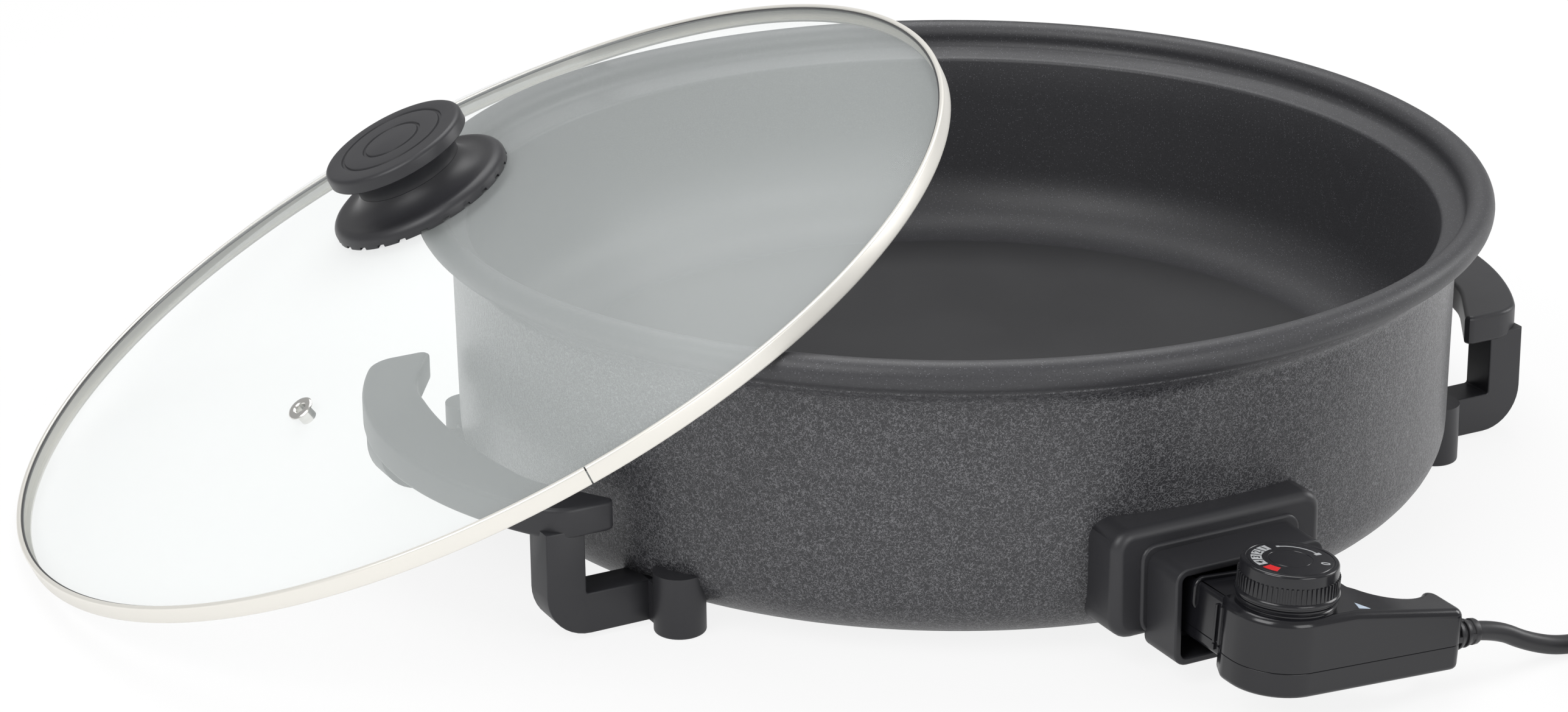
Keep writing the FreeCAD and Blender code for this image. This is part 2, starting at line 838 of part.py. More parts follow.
def make_knob_skirt():
    r = knob_skirt_radius
    foot = dome_at(r, dome_radius) + face_gap
    base = glass_apex + face_gap
    top = foot + knob_skirt_height
    skirt = turned([
        (screw_radius + fit_gap, base),
        (r - 5.5, base),
        (r - 4.5, dome_at(r - 4.5, dome_radius) + face_gap),
        (r, foot),
        (r, foot + 2.4),
        ((r - 1.2, foot + 4.6), (r - 4.2, foot + 5.6)),
        ((r - 12.0, foot + 7.6), (knob_neck_radius, top)),
        (screw_radius + fit_gap, top),
    ])
    for k in range(notch_count):
        notch = block(r - 2.0, r + 1, -notch_width / 2, notch_width / 2, foot - 1, foot + notch_depth)
        notch.rotate(V(0, 0, 0), Z_AXIS, 360.0 * (k + 0.5) / notch_count)
        skirt = skirt.cut(notch)
    return lean(skirt)


def make_knob_top():
    base = dome_at(knob_skirt_radius, dome_radius) + face_gap + knob_skirt_height + face_gap
    r = knob_top_radius
    top = knob_height
    under = top - 5.6
    knob = turned([
        (0, base + 12.0),
        (screw_radius + fit_gap, base + 12.0),
        (screw_radius + fit_gap, base),
        (knob_neck_radius, base),
        ((knob_neck_radius + 1.6, base + 0.6 * (under - base)), (r, under)),
        (r, top - 2.2),
        ((r - 0.6, top - 0.9), (r - 2.2, top - 0.4)),
        (r - 7.0, top),
        (r - 7.6, top - 0.7),
        (r - 8.6, top - 0.7),
        (r - 9.2, top),
        (r - 16.0, top),
        (r - 16.6, top - 0.7),
        (r - 17.4, top - 0.7),
        (r - 18.0, top),
        (0, top),
    ])
    return lean(knob)


def make_knob_screw():
    washer_top = dome_at(washer_radius, under_radius) - face_gap
    head_top = washer_top - washer_thickness - 0.02
    head = rod(screw_head_radius, V(0, 0, head_top - screw_head_height), Z_AXIS, screw_head_height)
    low = edges_where(head, lambda e: e.BoundBox.ZMax < head_top - screw_head_height + 0.1 and len(e.Vertexes) == 1)
    head = head.makeFillet(0.7, low)
    length = knob_height - 5.6 - head_top
    return lean(head.fuse(rod(screw_radius, V(0, 0, head_top - 0.1), Z_AXIS, length)))


def make_knob_washer():
    top = dome_at(washer_radius, under_radius) - face_gap
    washer = rod(washer_radius, V(0, 0, top - washer_thickness), Z_AXIS, washer_thickness)
    return lean(washer.cut(rod(screw_radius + fit_gap, V(0, 0, 0), Z_AXIS, 80)))


def make_vent_eyelet():
    high = dome_radius + fit_gap + 0.06
    low = under_radius - fit_gap
    t = vent_flange_thickness
    eyelet = turned([
        (vent_hole_radius, low - t),
        (vent_flange_radius - 0.6, low - t),
        (vent_flange_radius - 0.6, low - 0.04),
        (vent_tube_radius, low - 0.04),
        (vent_tube_radius, high),
        (vent_flange_radius, high),
        (vent_flange_radius, high + 0.35),
        ((vent_flange_radius - 0.5, high + t - 0.1), (vent_flange_radius - 1.2, high + t)),
        (vent_hole_radius + 0.5, high + t),
        (vent_hole_radius, high + t - 0.5),
    ])
    return lean(along_vent(eyelet))


# Thermostat, modelled level and then drooped about the socket's centre line
pivot = V(socket_centre, 0, plug_pivot_height)


def droop(shape):
    shape.rotate(pivot, Y_AXIS, plug_droop)
    return shape


dial_y = -dial_side
shaft_hole = shaft_radius + fit_gap
case_screw_places = [(-25.0, -262.0), (38.0, -268.0), (12.9, -238.0)]


def case_outline(z):
    left = socket_centre - nose_half_width - case_step
    cy = -case_front + case_corner
    cx = left + case_corner
    half = case_corner * math.sqrt(0.5)
    right = socket_centre + nose_half_width

    def p(x, y):
        return V(x, y, z)

    return Part.Wire([
        line(p(left, -case_shoulder - 1), p(left, cy)),
        arc(p(left, cy), p(cx - half, cy - half), p(cx, -case_front)),
        line(p(cx, -case_front), p(case_end, -case_front_end)),
        line(p(case_end, -case_front_end), p(case_end, -case_back_end)),
        arc(p(case_end, -case_back_end), p(case_waist_at, -case_waist), p(right, -case_shoulder)),
        line(p(right, -case_shoulder), p(right, -case_shoulder + 6)),
        line(p(right, -case_shoulder + 6), p(left + case_step, -case_shoulder + 6)),
        line(p(left + case_step, -case_shoulder + 6), p(left, -case_shoulder - 1)),
    ])


def make_case():
    """Whole closed case, before it is parted into its two shells."""
    body = prism(case_outline(case_bottom), V(0, 0, case_top - case_bottom))
    slope = polygon([
        (2.0, -300, case_top),
        (case_end + 5, -300, case_end_top - 0.6),
        (case_end + 5, -300, case_top + 10),
        (2.0, -300, case_top + 10),
    ])
    body = body.cut(prism(slope, V(0, 80, 0)))
    ends = edges_where(body, lambda e: abs(e.tangentAt(e.FirstParameter).z) > 0.99 and e.BoundBox.XMin > case_end - 1)
    body = body.makeFillet(4.0, ends)
    tops = edges_where(body, lambda e: e.CenterOfMass.z > case_end_top - 2 and e.BoundBox.ZLength < 8
                       and e.BoundBox.YMax < -case_shoulder + 3
                       and not (abs(e.BoundBox.XMin - 2.0) < 0.2 and e.BoundBox.XLength < 0.1))
    body = body.makeFillet(case_edge, tops)
    lows = edges_where(body, lambda e: e.BoundBox.ZMax < case_bottom + 0.01 and e.BoundBox.YMax < -case_shoulder + 3)
    body = body.makeFillet(2.0, lows)
    nose = block(socket_centre - nose_half_width, socket_centre + nose_half_width, -case_shoulder - 4, -nose_end,
                 nose_bottom, nose_top)
    lengthwise = edges_where(nose, lambda e: abs(e.tangentAt(e.FirstParameter).y) > 0.99)
    nose = nose.makeFillet(2.0, lengthwise)
    body = body.fuse(nose)
    for k in range(rib_count):
        y = -case_shoulder + 1 + k * rib_pitch
        x = socket_centre - nose_half_width
        rib = block(x - rib_depth, x + 1, y, y + rib_width, nose_bottom + 2.4, nose_top - 3.0)
        body = body.fuse(rib)
    return body


def case_hollow():
    """Room inside the case for the switch, the contacts, the shaft and the lead."""
    room = block(socket_centre - cavity_half_width, socket_centre + cavity_half_width, -cavity_end, -nose_end + 1,
                 cavity_bottom, cavity_top)
    shaft = rod(shaft_hole, V(dial_at, dial_y, shaft_bottom - 1), Z_AXIS, 30)
    relief = rod(relief_radius - 1.5 + fit_gap, V(case_end - relief_root, -relief_side, relief_height), X_AXIS, 12)
    lead = rod(cord_diameter / 2, V(case_end - 20, -relief_side, relief_height), X_AXIS, 30)
    return room, shaft, relief, lead


def make_case_shells():
    body = make_case()
    for hollow in case_hollow():
        body = body.cut(hollow)
    for x, y in case_screw_places:
        body = body.cut(rod(case_screw_radius + fit_gap, V(x, y, 0), Z_AXIS, case_bottom + case_screw_length + 0.5))
        body = body.cut(rod(case_screw_head + 0.2, V(x, y, 0), Z_AXIS, case_screw_seat(y)))
    lid_side = block(-80, 90, -300, -200, case_parting + 0.05, 80)
    base_side = block(-80, 90, -300, -200, 0, case_parting - 0.05)
    upper = body.common(lid_side)
    lower = body.common(base_side)
    return droop(upper), droop(lower)


def case_screw_seat(y):
    low = nose_bottom if y > -case_shoulder else case_bottom
    return low + 3.0


def make_case_screws():
    screws = []
    for x, y in case_screw_places:
        seat = case_screw_seat(y)
        head = rod(case_screw_head, V(x, y, seat - 2.0), Z_AXIS, 1.95)
        shank = rod(case_screw_radius, V(x, y, seat - 1.0), Z_AXIS, case_bottom + case_screw_length - seat)
        screws.append(head.fuse(shank))
    return droop(group(screws))


def make_switch_block():
    body = block(socket_centre - switch_half_width, socket_centre + switch_half_width, -switch_front, -switch_back,
                 switch_bottom, switch_top)
    body = body.makeChamfer(0.8, body.Edges)
    for x in leg_places:
        body = body.cut(rod(pin_radius + fit_gap + contact_wall + fit_gap, V(x, -switch_back - 8, terminal_height),
                            Y_AXIS, 20))
    body = body.cut(rod(probe_radius + fit_gap, V(socket_centre, -switch_back - 12, terminal_height), Y_AXIS, 20))
    return body


def make_contact_sockets():
    tubes = []
    outer = pin_radius + fit_gap + contact_wall
    for x in leg_places:
        tube = rod(outer, V(x, -switch_back - 8 + fit_gap, terminal_height), Y_AXIS, switch_back + 8 - contact_end)
        bore = rod(pin_radius + fit_gap, V(x, -pin_reach - 1, terminal_height), Y_AXIS, 20)
        tubes.append(tube.cut(bore))
    return group(tubes)


def make_sensor_probe():
    start = -switch_back - 12 + fit_gap
    probe = rod(probe_radius, V(socket_centre, start, terminal_height), Y_AXIS, -probe_tip - start)
    tip = edges_where(probe, lambda e: e.BoundBox.YMin > -probe_tip - 0.1 and len(e.Vertexes) == 1)
    return probe.makeFillet(probe_radius - 0.4, tip)


# Dial, its collar and its shaft
collar_base = case_top + 0.05


def make_dial_collar():
    r = collar_radius
    z = collar_base
    g = collar_groove
    collar = turned([
        (shaft_hole, z),
        (r, z),
        (r, z + 0.6),
        (r - g, z + 0.6),
        (r - g, z + 1.2),
        (r, z + 1.2),
        (r - 0.2, z + collar_height),
        (shaft_hole, z + collar_height),
    ])
    collar.translate(V(dial_at, dial_y, 0))
    return droop(collar)


def make_dial():
    z = collar_base + collar_height + seat_gap
    rb = dial_base_radius
    rt = dial_top_radius
    rib_foot = z + dial_ring_height + 0.6
    dial = turned([
        (shaft_hole, z),
        (rb - 0.7, z),
        (rb - 0.7, z + 0.7),
        (rb, z + 0.9),
        (rb, z + dial_ring_height),
        (rb - 0.6, rib_foot),
        (rt, z + dial_height - dial_edge),
        ((rt - 0.27 * dial_edge, z + dial_height - 0.27 * dial_edge), (rt - dial_edge, z + dial_height)),
        (0, z + dial_height),
        (0, z + dial_height - 3.0),
        (shaft_hole, z + dial_height - 3.0),
    ])
    teeth = []
    for k in range(dial_rib_count):
        tooth = block(rt - 1.2, rb - 0.6 + dial_rib_depth * 0.4, -0.5, 0.5, rib_foot - 0.3, rib_foot + dial_rib_height)
        tooth.rotate(V(0, 0, 0), Z_AXIS, 360.0 * k / dial_rib_count)
        teeth.append(tooth)
    dial = dial.multiFuse(teeth)
    dial.translate(V(dial_at, dial_y, 0))
    return droop(dial)


def make_dial_shaft():
    top = collar_base + collar_height + seat_gap + dial_height - 3.0 - fit_gap
    shaft = rod(shaft_radius, V(dial_at, dial_y, shaft_bottom), Z_AXIS, top - shaft_bottom)
    shaft = shaft.cut(block(dial_at + 2.2, dial_at + 4, dial_y - 5, dial_y + 5, collar_base + 6, top + 1))
    return droop(shaft)


# Strain relief and lead
def make_strain_relief():
    tip = relief_length
    relief = turned([
        (cord_diameter / 2, -relief_root),
        (relief_radius - 1.5, -relief_root),
        (relief_radius - 1.5, 0.1),
        (relief_radius, 0.1),
        (relief_tip_radius, tip),
        (cord_diameter / 2, tip),
    ])
    pitch = (tip - 3.0) / relief_slots
    for k in range(relief_slots):
        z = 2.0 + k * pitch
        for a in (0, 180):
            gap = block(cord_diameter / 2 + 0.8, relief_radius + 1, -8, 8, z, z + pitch * 0.45)
            gap.rotate(V(0, 0, 0), Z_AXIS, a + 90 * (k % 2))
            relief = relief.cut(gap)
    relief.rotate(V(0, 0, 0), Y_AXIS, 90)
    relief.translate(V(case_end, -relief_side, relief_height))
    return droop(relief)


def drooped(point):
    probe = Part.Vertex(point)
    probe.rotate(pivot, Y_AXIS, plug_droop)
    return probe.Vertexes[0].Point


def heading_after_droop():
    a = math.radians(plug_droop)
    return V(math.cos(a), 0, -math.sin(a))


relief_tip = drooped(V(case_end + relief_length, -relief_side, relief_height))
cord_height = cord_diameter / 2 + cord_lift
coil_entry = V(coil_centre[0] - cord_diameter, coil_centre[1] + coil_outer_radius, cord_height)


def cord_points():
    first = relief_tip + heading_after_droop() * 0.01
    return [first] + [V(*p) for p in cord_route] + [coil_entry]


def run_and_arc_wire(points):
    """Straight runs joined by tangent arcs; prints each arc's radius."""
    edges = []
    here = points[0]
    radii = []
    for before, corner, after in zip(points, points[1:], points[2:]):
        a = corner - before
        b = after - corner
        turn = a.getAngle(b)
        short = min(a.Length, b.Length)
        cut = 0.45 * short
        a.normalize()
        b.normalize()
        start = corner - a * cut
        end = corner + b * cut
        bulge = a - b
        bulge.normalize()
        radius = cut / math.tan(turn / 2)
        middle = corner - bulge * (radius / math.cos(turn / 2) - radius)
        radii.append(radius)
        edges.append(line(here, start))
        edges.append(arc(start, middle, end))
        here = end
    edges.append(line(here, points[-1]))
    return Part.Wire(edges), radii


def arc_by_heading(a, heading_a, b):
    """Arc from a to b that leaves a along heading_a."""
    chord = b - a
    unit = V(chord)
    unit.normalize()
    half = heading_a.getAngle(unit)
    if half < 1e-5:
        return line(a, b)
    side = heading_a - unit * heading_a.dot(unit)
    side.normalize()
    return arc(a, (a + b) * 0.5 + side * (chord.Length / 2 * math.tan(half / 2)), b)


def biarc(a, heading_a, b, heading_b):
    """Two tangent arcs between two points with given headings."""
    v = b - a
    t = heading_a + heading_b
    vt = v.dot(t)
    spread = 2 * (1 - heading_a.dot(heading_b))
    if spread < 1e-9:
        d = v.dot(v) / (4 * v.dot(heading_b))
    else:
        d = (-vt + math.sqrt(vt * vt + spread * v.dot(v))) / spread
    joint = (a + heading_a * d + b - heading_b * d) * 0.5
    heading_joint = (b - heading_b * d) - (a + heading_a * d)
    heading_joint.normalize()
    return [arc_by_heading(a, heading_a, joint), arc_by_heading(joint, heading_joint, b)]


def coil_point(turns):
    """Centre of the lead in the coil after so many turns, clockwise from the +Y side."""
    whole = 2 * coil_turns + coil_climb_turns
    radius = coil_outer_radius - coil_pitch * min(turns, whole - turns)
    share = min(max((turns - coil_turns) / coil_climb_turns, 0.0), 1.0)
    rise = share * share * (3 - 2 * share)
    a = math.pi / 2 - 2 * math.pi * min(turns, whole)
    return V(coil_centre[0] + radius * math.cos(a), coil_centre[1] + radius * math.sin(a),
             cord_height + rise * coil_pitch)


def coil_heading(turns):
    step = 1e-5
    ahead = coil_point(turns + step) - coil_point(turns - step)
    if turns < step:
        ahead = X_AXIS * 1.0
    if turns > 2 * coil_turns + coil_climb_turns - step:
        ahead = X_AXIS * 1.0
    ahead.normalize()
    return ahead


mains_height = mains_radius + cord_lift
whole_turns = 2 * coil_turns + coil_climb_turns
tail_start = coil_point(whole_turns)
tail_end = V(tail_start.x + tail_length, tail_start.y, mains_height)
mains_joint = V(tail_end.x + cord_diameter, tail_end.y, mains_height)


def coil_edges():
    edges = [line(coil_entry, coil_point(0))]
    quarter = 0.25
    count = int(round(whole_turns / quarter))
    for k in range(count):
        a = k * quarter
        b = (k + 1) * quarter
        edges += biarc(coil_point(a), coil_heading(a), coil_point(b), coil_heading(b))
    edges += biarc(tail_start, X_AXIS, tail_end, X_AXIS)
    edges.append(line(tail_end, mains_joint))
    return edges


def tube(wire, start, heading_at_start):
    ring = Part.Wire(Part.makeCircle(cord_diameter / 2, start, heading_at_start))
    return wire.makePipeShell([ring], True, False)


def report_tube(name, solid, wire):
    ideal = math.pi * (cord_diameter / 2) ** 2 * wire.Length
    print(name, "length", round(wire.Length, 1), "volume over section x length",
          round(solid.Volume / ideal, 5))


def least_self_gap(edges, apart):
    """Least gap between stretches of the tube at least so far apart along it."""
    points = []
    travel = 0.0
    for edge in edges:
        steps = max(2, int(edge.Length / 2.5))
        for k in range(steps):
            p = edge.valueAt(edge.FirstParameter + (edge.LastParameter - edge.FirstParameter) * k / steps)
            points.append((travel + edge.Length * k / steps, p))
        travel += edge.Length
    best = 1e9
    for i, (si, pi) in enumerate(points):
        for sj, pj in points[i + 1:]:
            if sj - si > apart:
                best = min(best, (pi - pj).Length)
    return best - cord_diameter


def make_cord_run():
    wire, radii = run_and_arc_wire(cord_points())
    print("cord run radii", [round(r, 1) for r in radii])
    solid = tube(wire, cord_points()[0], cord_points()[1] - cord_points()[0])
    report_tube("cord_run", solid, wire)
    return solid


def make_cord_coil():
    edges = coil_edges()
    wire = Part.Wire(edges)
    solid = tube(wire, coil_entry, X_AXIS)
    report_tube("cord_coil", solid, wire)
    print("coil least gap to itself", round(least_self_gap(edges, 60.0), 2))
    return solid


def along_x(pieces, start):
    body = turned(pieces)
    body.rotate(V(0, 0, 0), Y_AXIS, 90)
    body.translate(start)
    return body


def make_mains_plug_body():
    r = mains_radius
    neck = mains_relief
    grip = neck + mains_grip
    face = grip + mains_disc
    body = along_x([
        (0, 0.01),
        (cord_diameter / 2 + 1.2, 0.01),
        (mains_neck_radius, neck),
        (mains_grip_radius, neck + 3),
        ((mains_grip_radius + 0.6, neck + mains_grip * 0.6), (r - 2.0, grip)),
        (r, grip + 2.0),
        (r, face - 1.0),
        (r - 1.0, face),
        (0, face),
    ], mains_joint)
    for sy in (-1, 1):
        hole = rod(mains_pin_radius, mains_joint + V(face - 8, sy * mains_pin_pitch / 2, 0), X_AXIS, 12)
        body = body.cut(hole)
    return body


def make_mains_plug_pins():
    face = mains_relief + mains_grip + mains_disc
    pins = []
    for sy in (-1, 1):
        start = mains_joint + V(face - 8 + fit_gap, sy * mains_pin_pitch / 2, 0)
        pin = rod(mains_pin_radius - 0.01, start, X_AXIS, mains_pin_length + 8)
        tip = edges_where(pin, lambda e: e.BoundBox.XMin > start.x + mains_pin_length + 7 and len(e.Vertexes) == 1)
        pins.append(pin.makeFillet(1.4, tip))
    return group(pins)


save("inner_pan", make_inner_pan())
save("outer_shell", make_outer_shell())
save("base_cover", make_base_cover())
save("base_screws", make_base_screws())
save("right_bracket", make_bracket(1))
save("left_bracket", make_bracket(-1))
save("bracket_screws", make_bracket_screws())
save("bracket_nuts", make_bracket_nuts())
save("heating_element", make_heating_element())
save("element_clamps", make_element_clamps())
save("heat_reflector", make_heat_reflector())
save("sensor_sleeve", make_sensor_sleeve())
save("terminal_block", make_terminal_block())
save("terminal_pins", make_terminal_pins())
save("socket_flange", make_socket_flange())
save("socket_frame", make_socket_frame())
save("socket_screws", make_socket_screws())
save("lid_glass", make_lid_glass())
save("lid_band", make_lid_band())
save("knob_skirt", make_knob_skirt())
save("knob_top", make_knob_top())
save("knob_screw", make_knob_screw())
save("knob_washer", make_knob_washer())
save("vent_eyelet", make_vent_eyelet())
upper_shell, lower_shell = make_case_shells()
save("plug_upper_shell", upper_shell)
save("plug_lower_shell", lower_shell)
save("case_screws", make_case_screws())
save("switch_block", make_switch_block())
save("contact_sockets", make_contact_sockets())
save("sensor_probe", make_sensor_probe())
save("dial_collar", make_dial_collar())
save("dial", make_dial())
save("dial_shaft", make_dial_shaft())
save("strain_relief", make_strain_relief())
save("cord_run", make_cord_run())
save("cord_coil", make_cord_coil())
save("mains_plug_body", make_mains_plug_body())
save("mains_plug_pins", make_mains_plug_pins())
print("lid offset", round(lid_offset, 2), "height", round(lid_height, 2))
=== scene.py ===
import json
import math

import bmesh
import bpy
from bpy.props import FloatProperty, FloatVectorProperty, IntProperty, PointerProperty
from bpy.types import Operator, Panel, PropertyGroup
from mathutils import Matrix, Vector


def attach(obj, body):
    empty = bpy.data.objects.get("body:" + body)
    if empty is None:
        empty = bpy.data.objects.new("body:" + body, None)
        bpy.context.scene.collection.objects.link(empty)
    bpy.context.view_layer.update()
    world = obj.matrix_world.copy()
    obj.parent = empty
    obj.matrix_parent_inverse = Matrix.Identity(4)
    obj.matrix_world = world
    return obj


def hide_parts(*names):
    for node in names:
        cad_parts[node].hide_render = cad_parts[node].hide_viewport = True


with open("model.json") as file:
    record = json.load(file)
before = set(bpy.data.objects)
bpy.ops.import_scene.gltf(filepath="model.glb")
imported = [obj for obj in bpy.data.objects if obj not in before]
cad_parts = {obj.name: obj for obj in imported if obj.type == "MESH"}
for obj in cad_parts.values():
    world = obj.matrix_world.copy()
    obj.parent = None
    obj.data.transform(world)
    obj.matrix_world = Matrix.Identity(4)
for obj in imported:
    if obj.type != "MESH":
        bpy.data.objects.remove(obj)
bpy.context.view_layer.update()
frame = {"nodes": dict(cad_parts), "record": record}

bl_info = {
    "name": "Electric skillet",
    "version": (1, 0, 0),
    "blender": (4, 5, 0),
    "location": "View3D > Sidebar > Skillet",
    "description": "Models and finishes a round electric skillet over its packed frame",
    "category": "Add Mesh",
}


# Sizes and colours
def length(name, description, value):
    return FloatProperty(name=name, description=description, default=value, precision=5, unit="LENGTH")


def angle(name, description, degrees):
    return FloatProperty(name=name, description=description, default=math.radians(degrees), unit="ROTATION")


def count(name, description, value):
    return IntProperty(name=name, description=description, default=value, min=1)


def colour(name, description, value):
    return FloatVectorProperty(name=name, description=description, default=value, subtype="COLOR",
                               size=3, min=0.0, max=1.0)


class SkilletSizes(PropertyGroup):
    """Sizes of the pan, lid, brackets, socket, thermostat and lead."""

    ring_steps: count("Steps round", "Points round a turned piece", 192)
    rim_radius: length("Rim radius", "Outside radius of the rolled rim", 0.210)
    rim_top: length("Rim height", "Top of the rim above the counter", 0.121)
    bead_radius: length("Bead radius", "Radius of the rolled rim's bead", 0.0055)
    ledge_radius: length("Ledge radius", "Outside radius of the lid's ledge", 0.1982)
    ledge_height: length("Ledge height", "Height of the ledge's outside", 0.111)
    rim_drop: length("Rim drop", "From the ledge down to the rim's underside", 0.0031)
    ledge_inner_radius: length("Ledge inner radius", "Radius where the ledge meets the wall", 0.1897)
    ledge_inner_height: length("Ledge inner height", "Height where the ledge meets the wall", 0.1084)
    floor_height: length("Floor height", "Cooking surface above the counter", 0.0344)
    floor_radius: length("Floor radius", "Radius of the flat cooking surface", 0.1625)
    corner_radius: length("Corner radius", "Radius between floor and wall", 0.0257)
    pan_wall: length("Pan wall", "Thickness of the pan's wall", 0.0026)
    pan_floor: length("Pan floor", "Thickness of the pan's floor", 0.0031)
    shell_radius: length("Shell radius", "Outside radius of the shell", 0.196)
    shell_foot_radius: length("Shell foot radius", "Shell radius above its corner", 0.1952)
    shell_flare: length("Shell flare", "How far the shell's top turns out", 0.0054)
    shell_flare_height: length("Flare height", "Height of the turned-out top", 0.0095)
    shell_corner_width: length("Shell corner width", "Width of the shell's lower corner", 0.0307)
    shell_corner_height: length("Shell corner height", "Height of the shell's lower corner", 0.025)
    shell_bottom: length("Shell bottom", "Underside of the shell above the counter", 0.0035)
    shell_wall: length("Shell wall", "Thickness of the shell", 0.0012)
    shell_opening: length("Shell opening", "Radius of the opening underneath", 0.140)
    grip_reach: length("Grip reach", "How far a grip reaches from the pan's centre", 0.240)
    grip_outer_radius: length("Grip radius", "Radius of a grip's outer edge", 0.146)
    grip_half_length: length("Grip half length", "Half the length of a grip", 0.086)
    grip_waist: length("Grip waist", "Inner edge of a grip at its middle", 0.2134)
    grip_shoulder: length("Grip shoulder", "Inner edge of a grip at its shoulders", 0.2065)
    grip_shoulder_side: length("Shoulder side", "Half the length between the shoulders", 0.056)
    grip_end: length("Grip end", "Where a grip ends against the shell", 0.189)
    grip_corner: length("Grip corner", "Radius of a grip's outer corners", 0.016)
    grip_top: length("Grip top", "Top of a grip above the counter", 0.053)
    grip_thickness: length("Grip thickness", "Thickness of a grip", 0.012)
    post_reach: length("Post reach", "Outside of the posts", 0.2165)
    post_width: length("Post width", "Width of a post", 0.0155)
    post_side: length("Post side", "Far face of a post from the middle", 0.085)
    post_depth: length("Post depth", "Depth of a post along the grip", 0.015)
    post_corner: length("Post corner", "Radius where a post turns into its beam", 0.017)
    beam_bottom: length("Beam bottom", "Underside of a beam", 0.002)
    beam_height: length("Beam height", "Height of a beam", 0.016)
    beam_inner: length("Beam inner end", "Where a beam ends under the pan", 0.157)
    foot_radius: length("Foot radius", "Radius of a foot", 0.00975)
    foot_reach: length("Foot reach", "Place of a foot from the middle", 0.168)
    foot_side: length("Foot side", "Side place of a foot", 0.094)
    socket_centre: length("Socket centre", "Place of the socket along X", -0.008)
    flange_width: length("Flange width", "Width of the socket's flange", 0.088)
    flange_bottom: length("Flange bottom", "Lower edge of the flange", 0.0135)
    flange_height: length("Flange height", "Height of the flange", 0.042)
    flange_face: length("Flange face", "Front of the flange from the middle", 0.206)
    frame_width: length("Mouth width", "Width of the socket's mouth", 0.062)
    frame_bottom: length("Mouth bottom", "Lower edge of the mouth", 0.0095)
    frame_height: length("Mouth height", "Height of the mouth", 0.037)
    frame_face: length("Mouth face", "Front of the mouth from the middle", 0.226)
    frame_wall: length("Mouth wall", "Wall of the mouth", 0.0028)
    band_radius: length("Band radius", "Outside radius of the lid's band", 0.1982)
    band_foot: length("Band foot", "Width of the band's foot", 0.003)
    band_sheet: length("Band sheet", "Thickness of the band", 0.0008)
    lip_width: length("Lip width", "Width of the band's lip on the glass", 0.002)
    lip_thickness: length("Lip thickness", "Thickness of the band's lip", 0.0011)
    seat_gap: length("Seat gap", "Gap between pieces that lie on each other", 0.00012)
    core_radius: length("Core radius", "Radius of the hole for a screw or shaft", 0.003)
    glass_thickness: length("Glass thickness", "Thickness of the lid's glass", 0.004)
    glass_apex: length("Glass apex", "Top of the dome over the band's foot", 0.0504)
    glass_edge_top: length("Glass edge", "Top of the glass at its edge", 0.0053)
    lid_tilt: angle("Lid tilt", "How steeply the lid leans", 25.1)
    lid_heading: angle("Lid heading", "Which way the lid leans", -15.0)
    lid_offset: length("Lid offset", "Lid's centre from the pan's axis", 0.18744)
    lid_height: length("Lid height", "Lid's centre above the counter", 0.08441)
    skirt_radius: length("Skirt radius", "Radius of the knob's skirt", 0.036)
    skirt_height: length("Skirt height", "Height of the knob's skirt", 0.0115)
    neck_radius: length("Neck radius", "Radius of the knob's neck", 0.0208)
    knob_radius: length("Knob radius", "Radius of the knob's top", 0.0285)
    knob_height: length("Knob height", "Top of the knob over the band's foot", 0.075)
    vent_uphill: length("Vent uphill", "Vent's place up the slope of the lid", -0.073)
    vent_side: length("Vent side", "Vent's place across the slope of the lid", -0.095)
    vent_hole: length("Vent hole", "Radius of the vent's hole", 0.002)
    vent_flange: length("Vent flange", "Radius of the vent's flange", 0.005)
    plug_droop: angle("Plug droop", "How far the thermostat hangs down", 4.3)
    plug_pivot: length("Plug pivot", "Height that the thermostat hangs from", 0.0295)
    nose_half_width: length("Nose half width", "Half the width of the thermostat's nose", 0.0245)
    nose_bottom: length("Nose bottom", "Underside of the nose", 0.018)
    nose_top: length("Nose top", "Top of the nose", 0.0405)
    nose_end: length("Nose end", "How far in the nose reaches", 0.212)
    case_bottom: length("Case bottom", "Underside of the thermostat's case", 0.0135)
    case_parting: length("Case parting", "Height where the case's halves meet", 0.023)
    parting_gap: length("Parting gap", "Half the gap between the case's halves", 0.00006)
    case_top: length("Case top", "Top of the case", 0.0425)
    case_end_top: length("Case end top", "Top of the case at the lead", 0.036)
    case_end: length("Case end", "End of the case at the lead", 0.050)
    case_front: length("Case front", "Front of the case", 0.277)
    case_front_end: length("Case front end", "Front of the case at the lead", 0.275)
    case_back_end: length("Case back end", "Back of the case at the lead", 0.253)
    case_shoulder: length("Case shoulder", "Back of the case beside the nose", 0.250)
    case_corner: length("Case corner", "Radius of the case's front corner", 0.020)
    case_step: length("Case step", "How far the case stands out beside the nose", 0.0035)
    case_edge: length("Case edge", "Radius of the case's upper edge", 0.003)
    dial_at: length("Dial place", "Dial's place along X", -0.015)
    dial_side: length("Dial side", "Dial's place in front of the pan", 0.257)
    collar_radius: length("Collar radius", "Radius of the collar under the dial", 0.0177)
    collar_height: length("Collar height", "Height of the collar", 0.0022)
    dial_base_radius: length("Dial base radius", "Radius of the dial's foot", 0.0184)
    dial_top_radius: length("Dial top radius", "Radius of the dial's top", 0.0172)
    dial_height: length("Dial height", "Height of the dial", 0.0126)
    dial_ribs: count("Dial ribs", "Number of ribs round the dial", 60)
    relief_radius: length("Relief radius", "Radius of the strain relief", 0.0062)
    relief_tip: length("Relief tip", "Radius of the strain relief's tip", 0.0043)
    relief_length: length("Relief length", "Length of the strain relief", 0.0135)
    relief_height: length("Relief height", "Height of the strain relief", 0.022)
    relief_side: length("Relief side", "Strain relief in front of the pan", 0.264)
    lead_diameter: length("Lead diameter", "Diameter of the lead", 0.007)
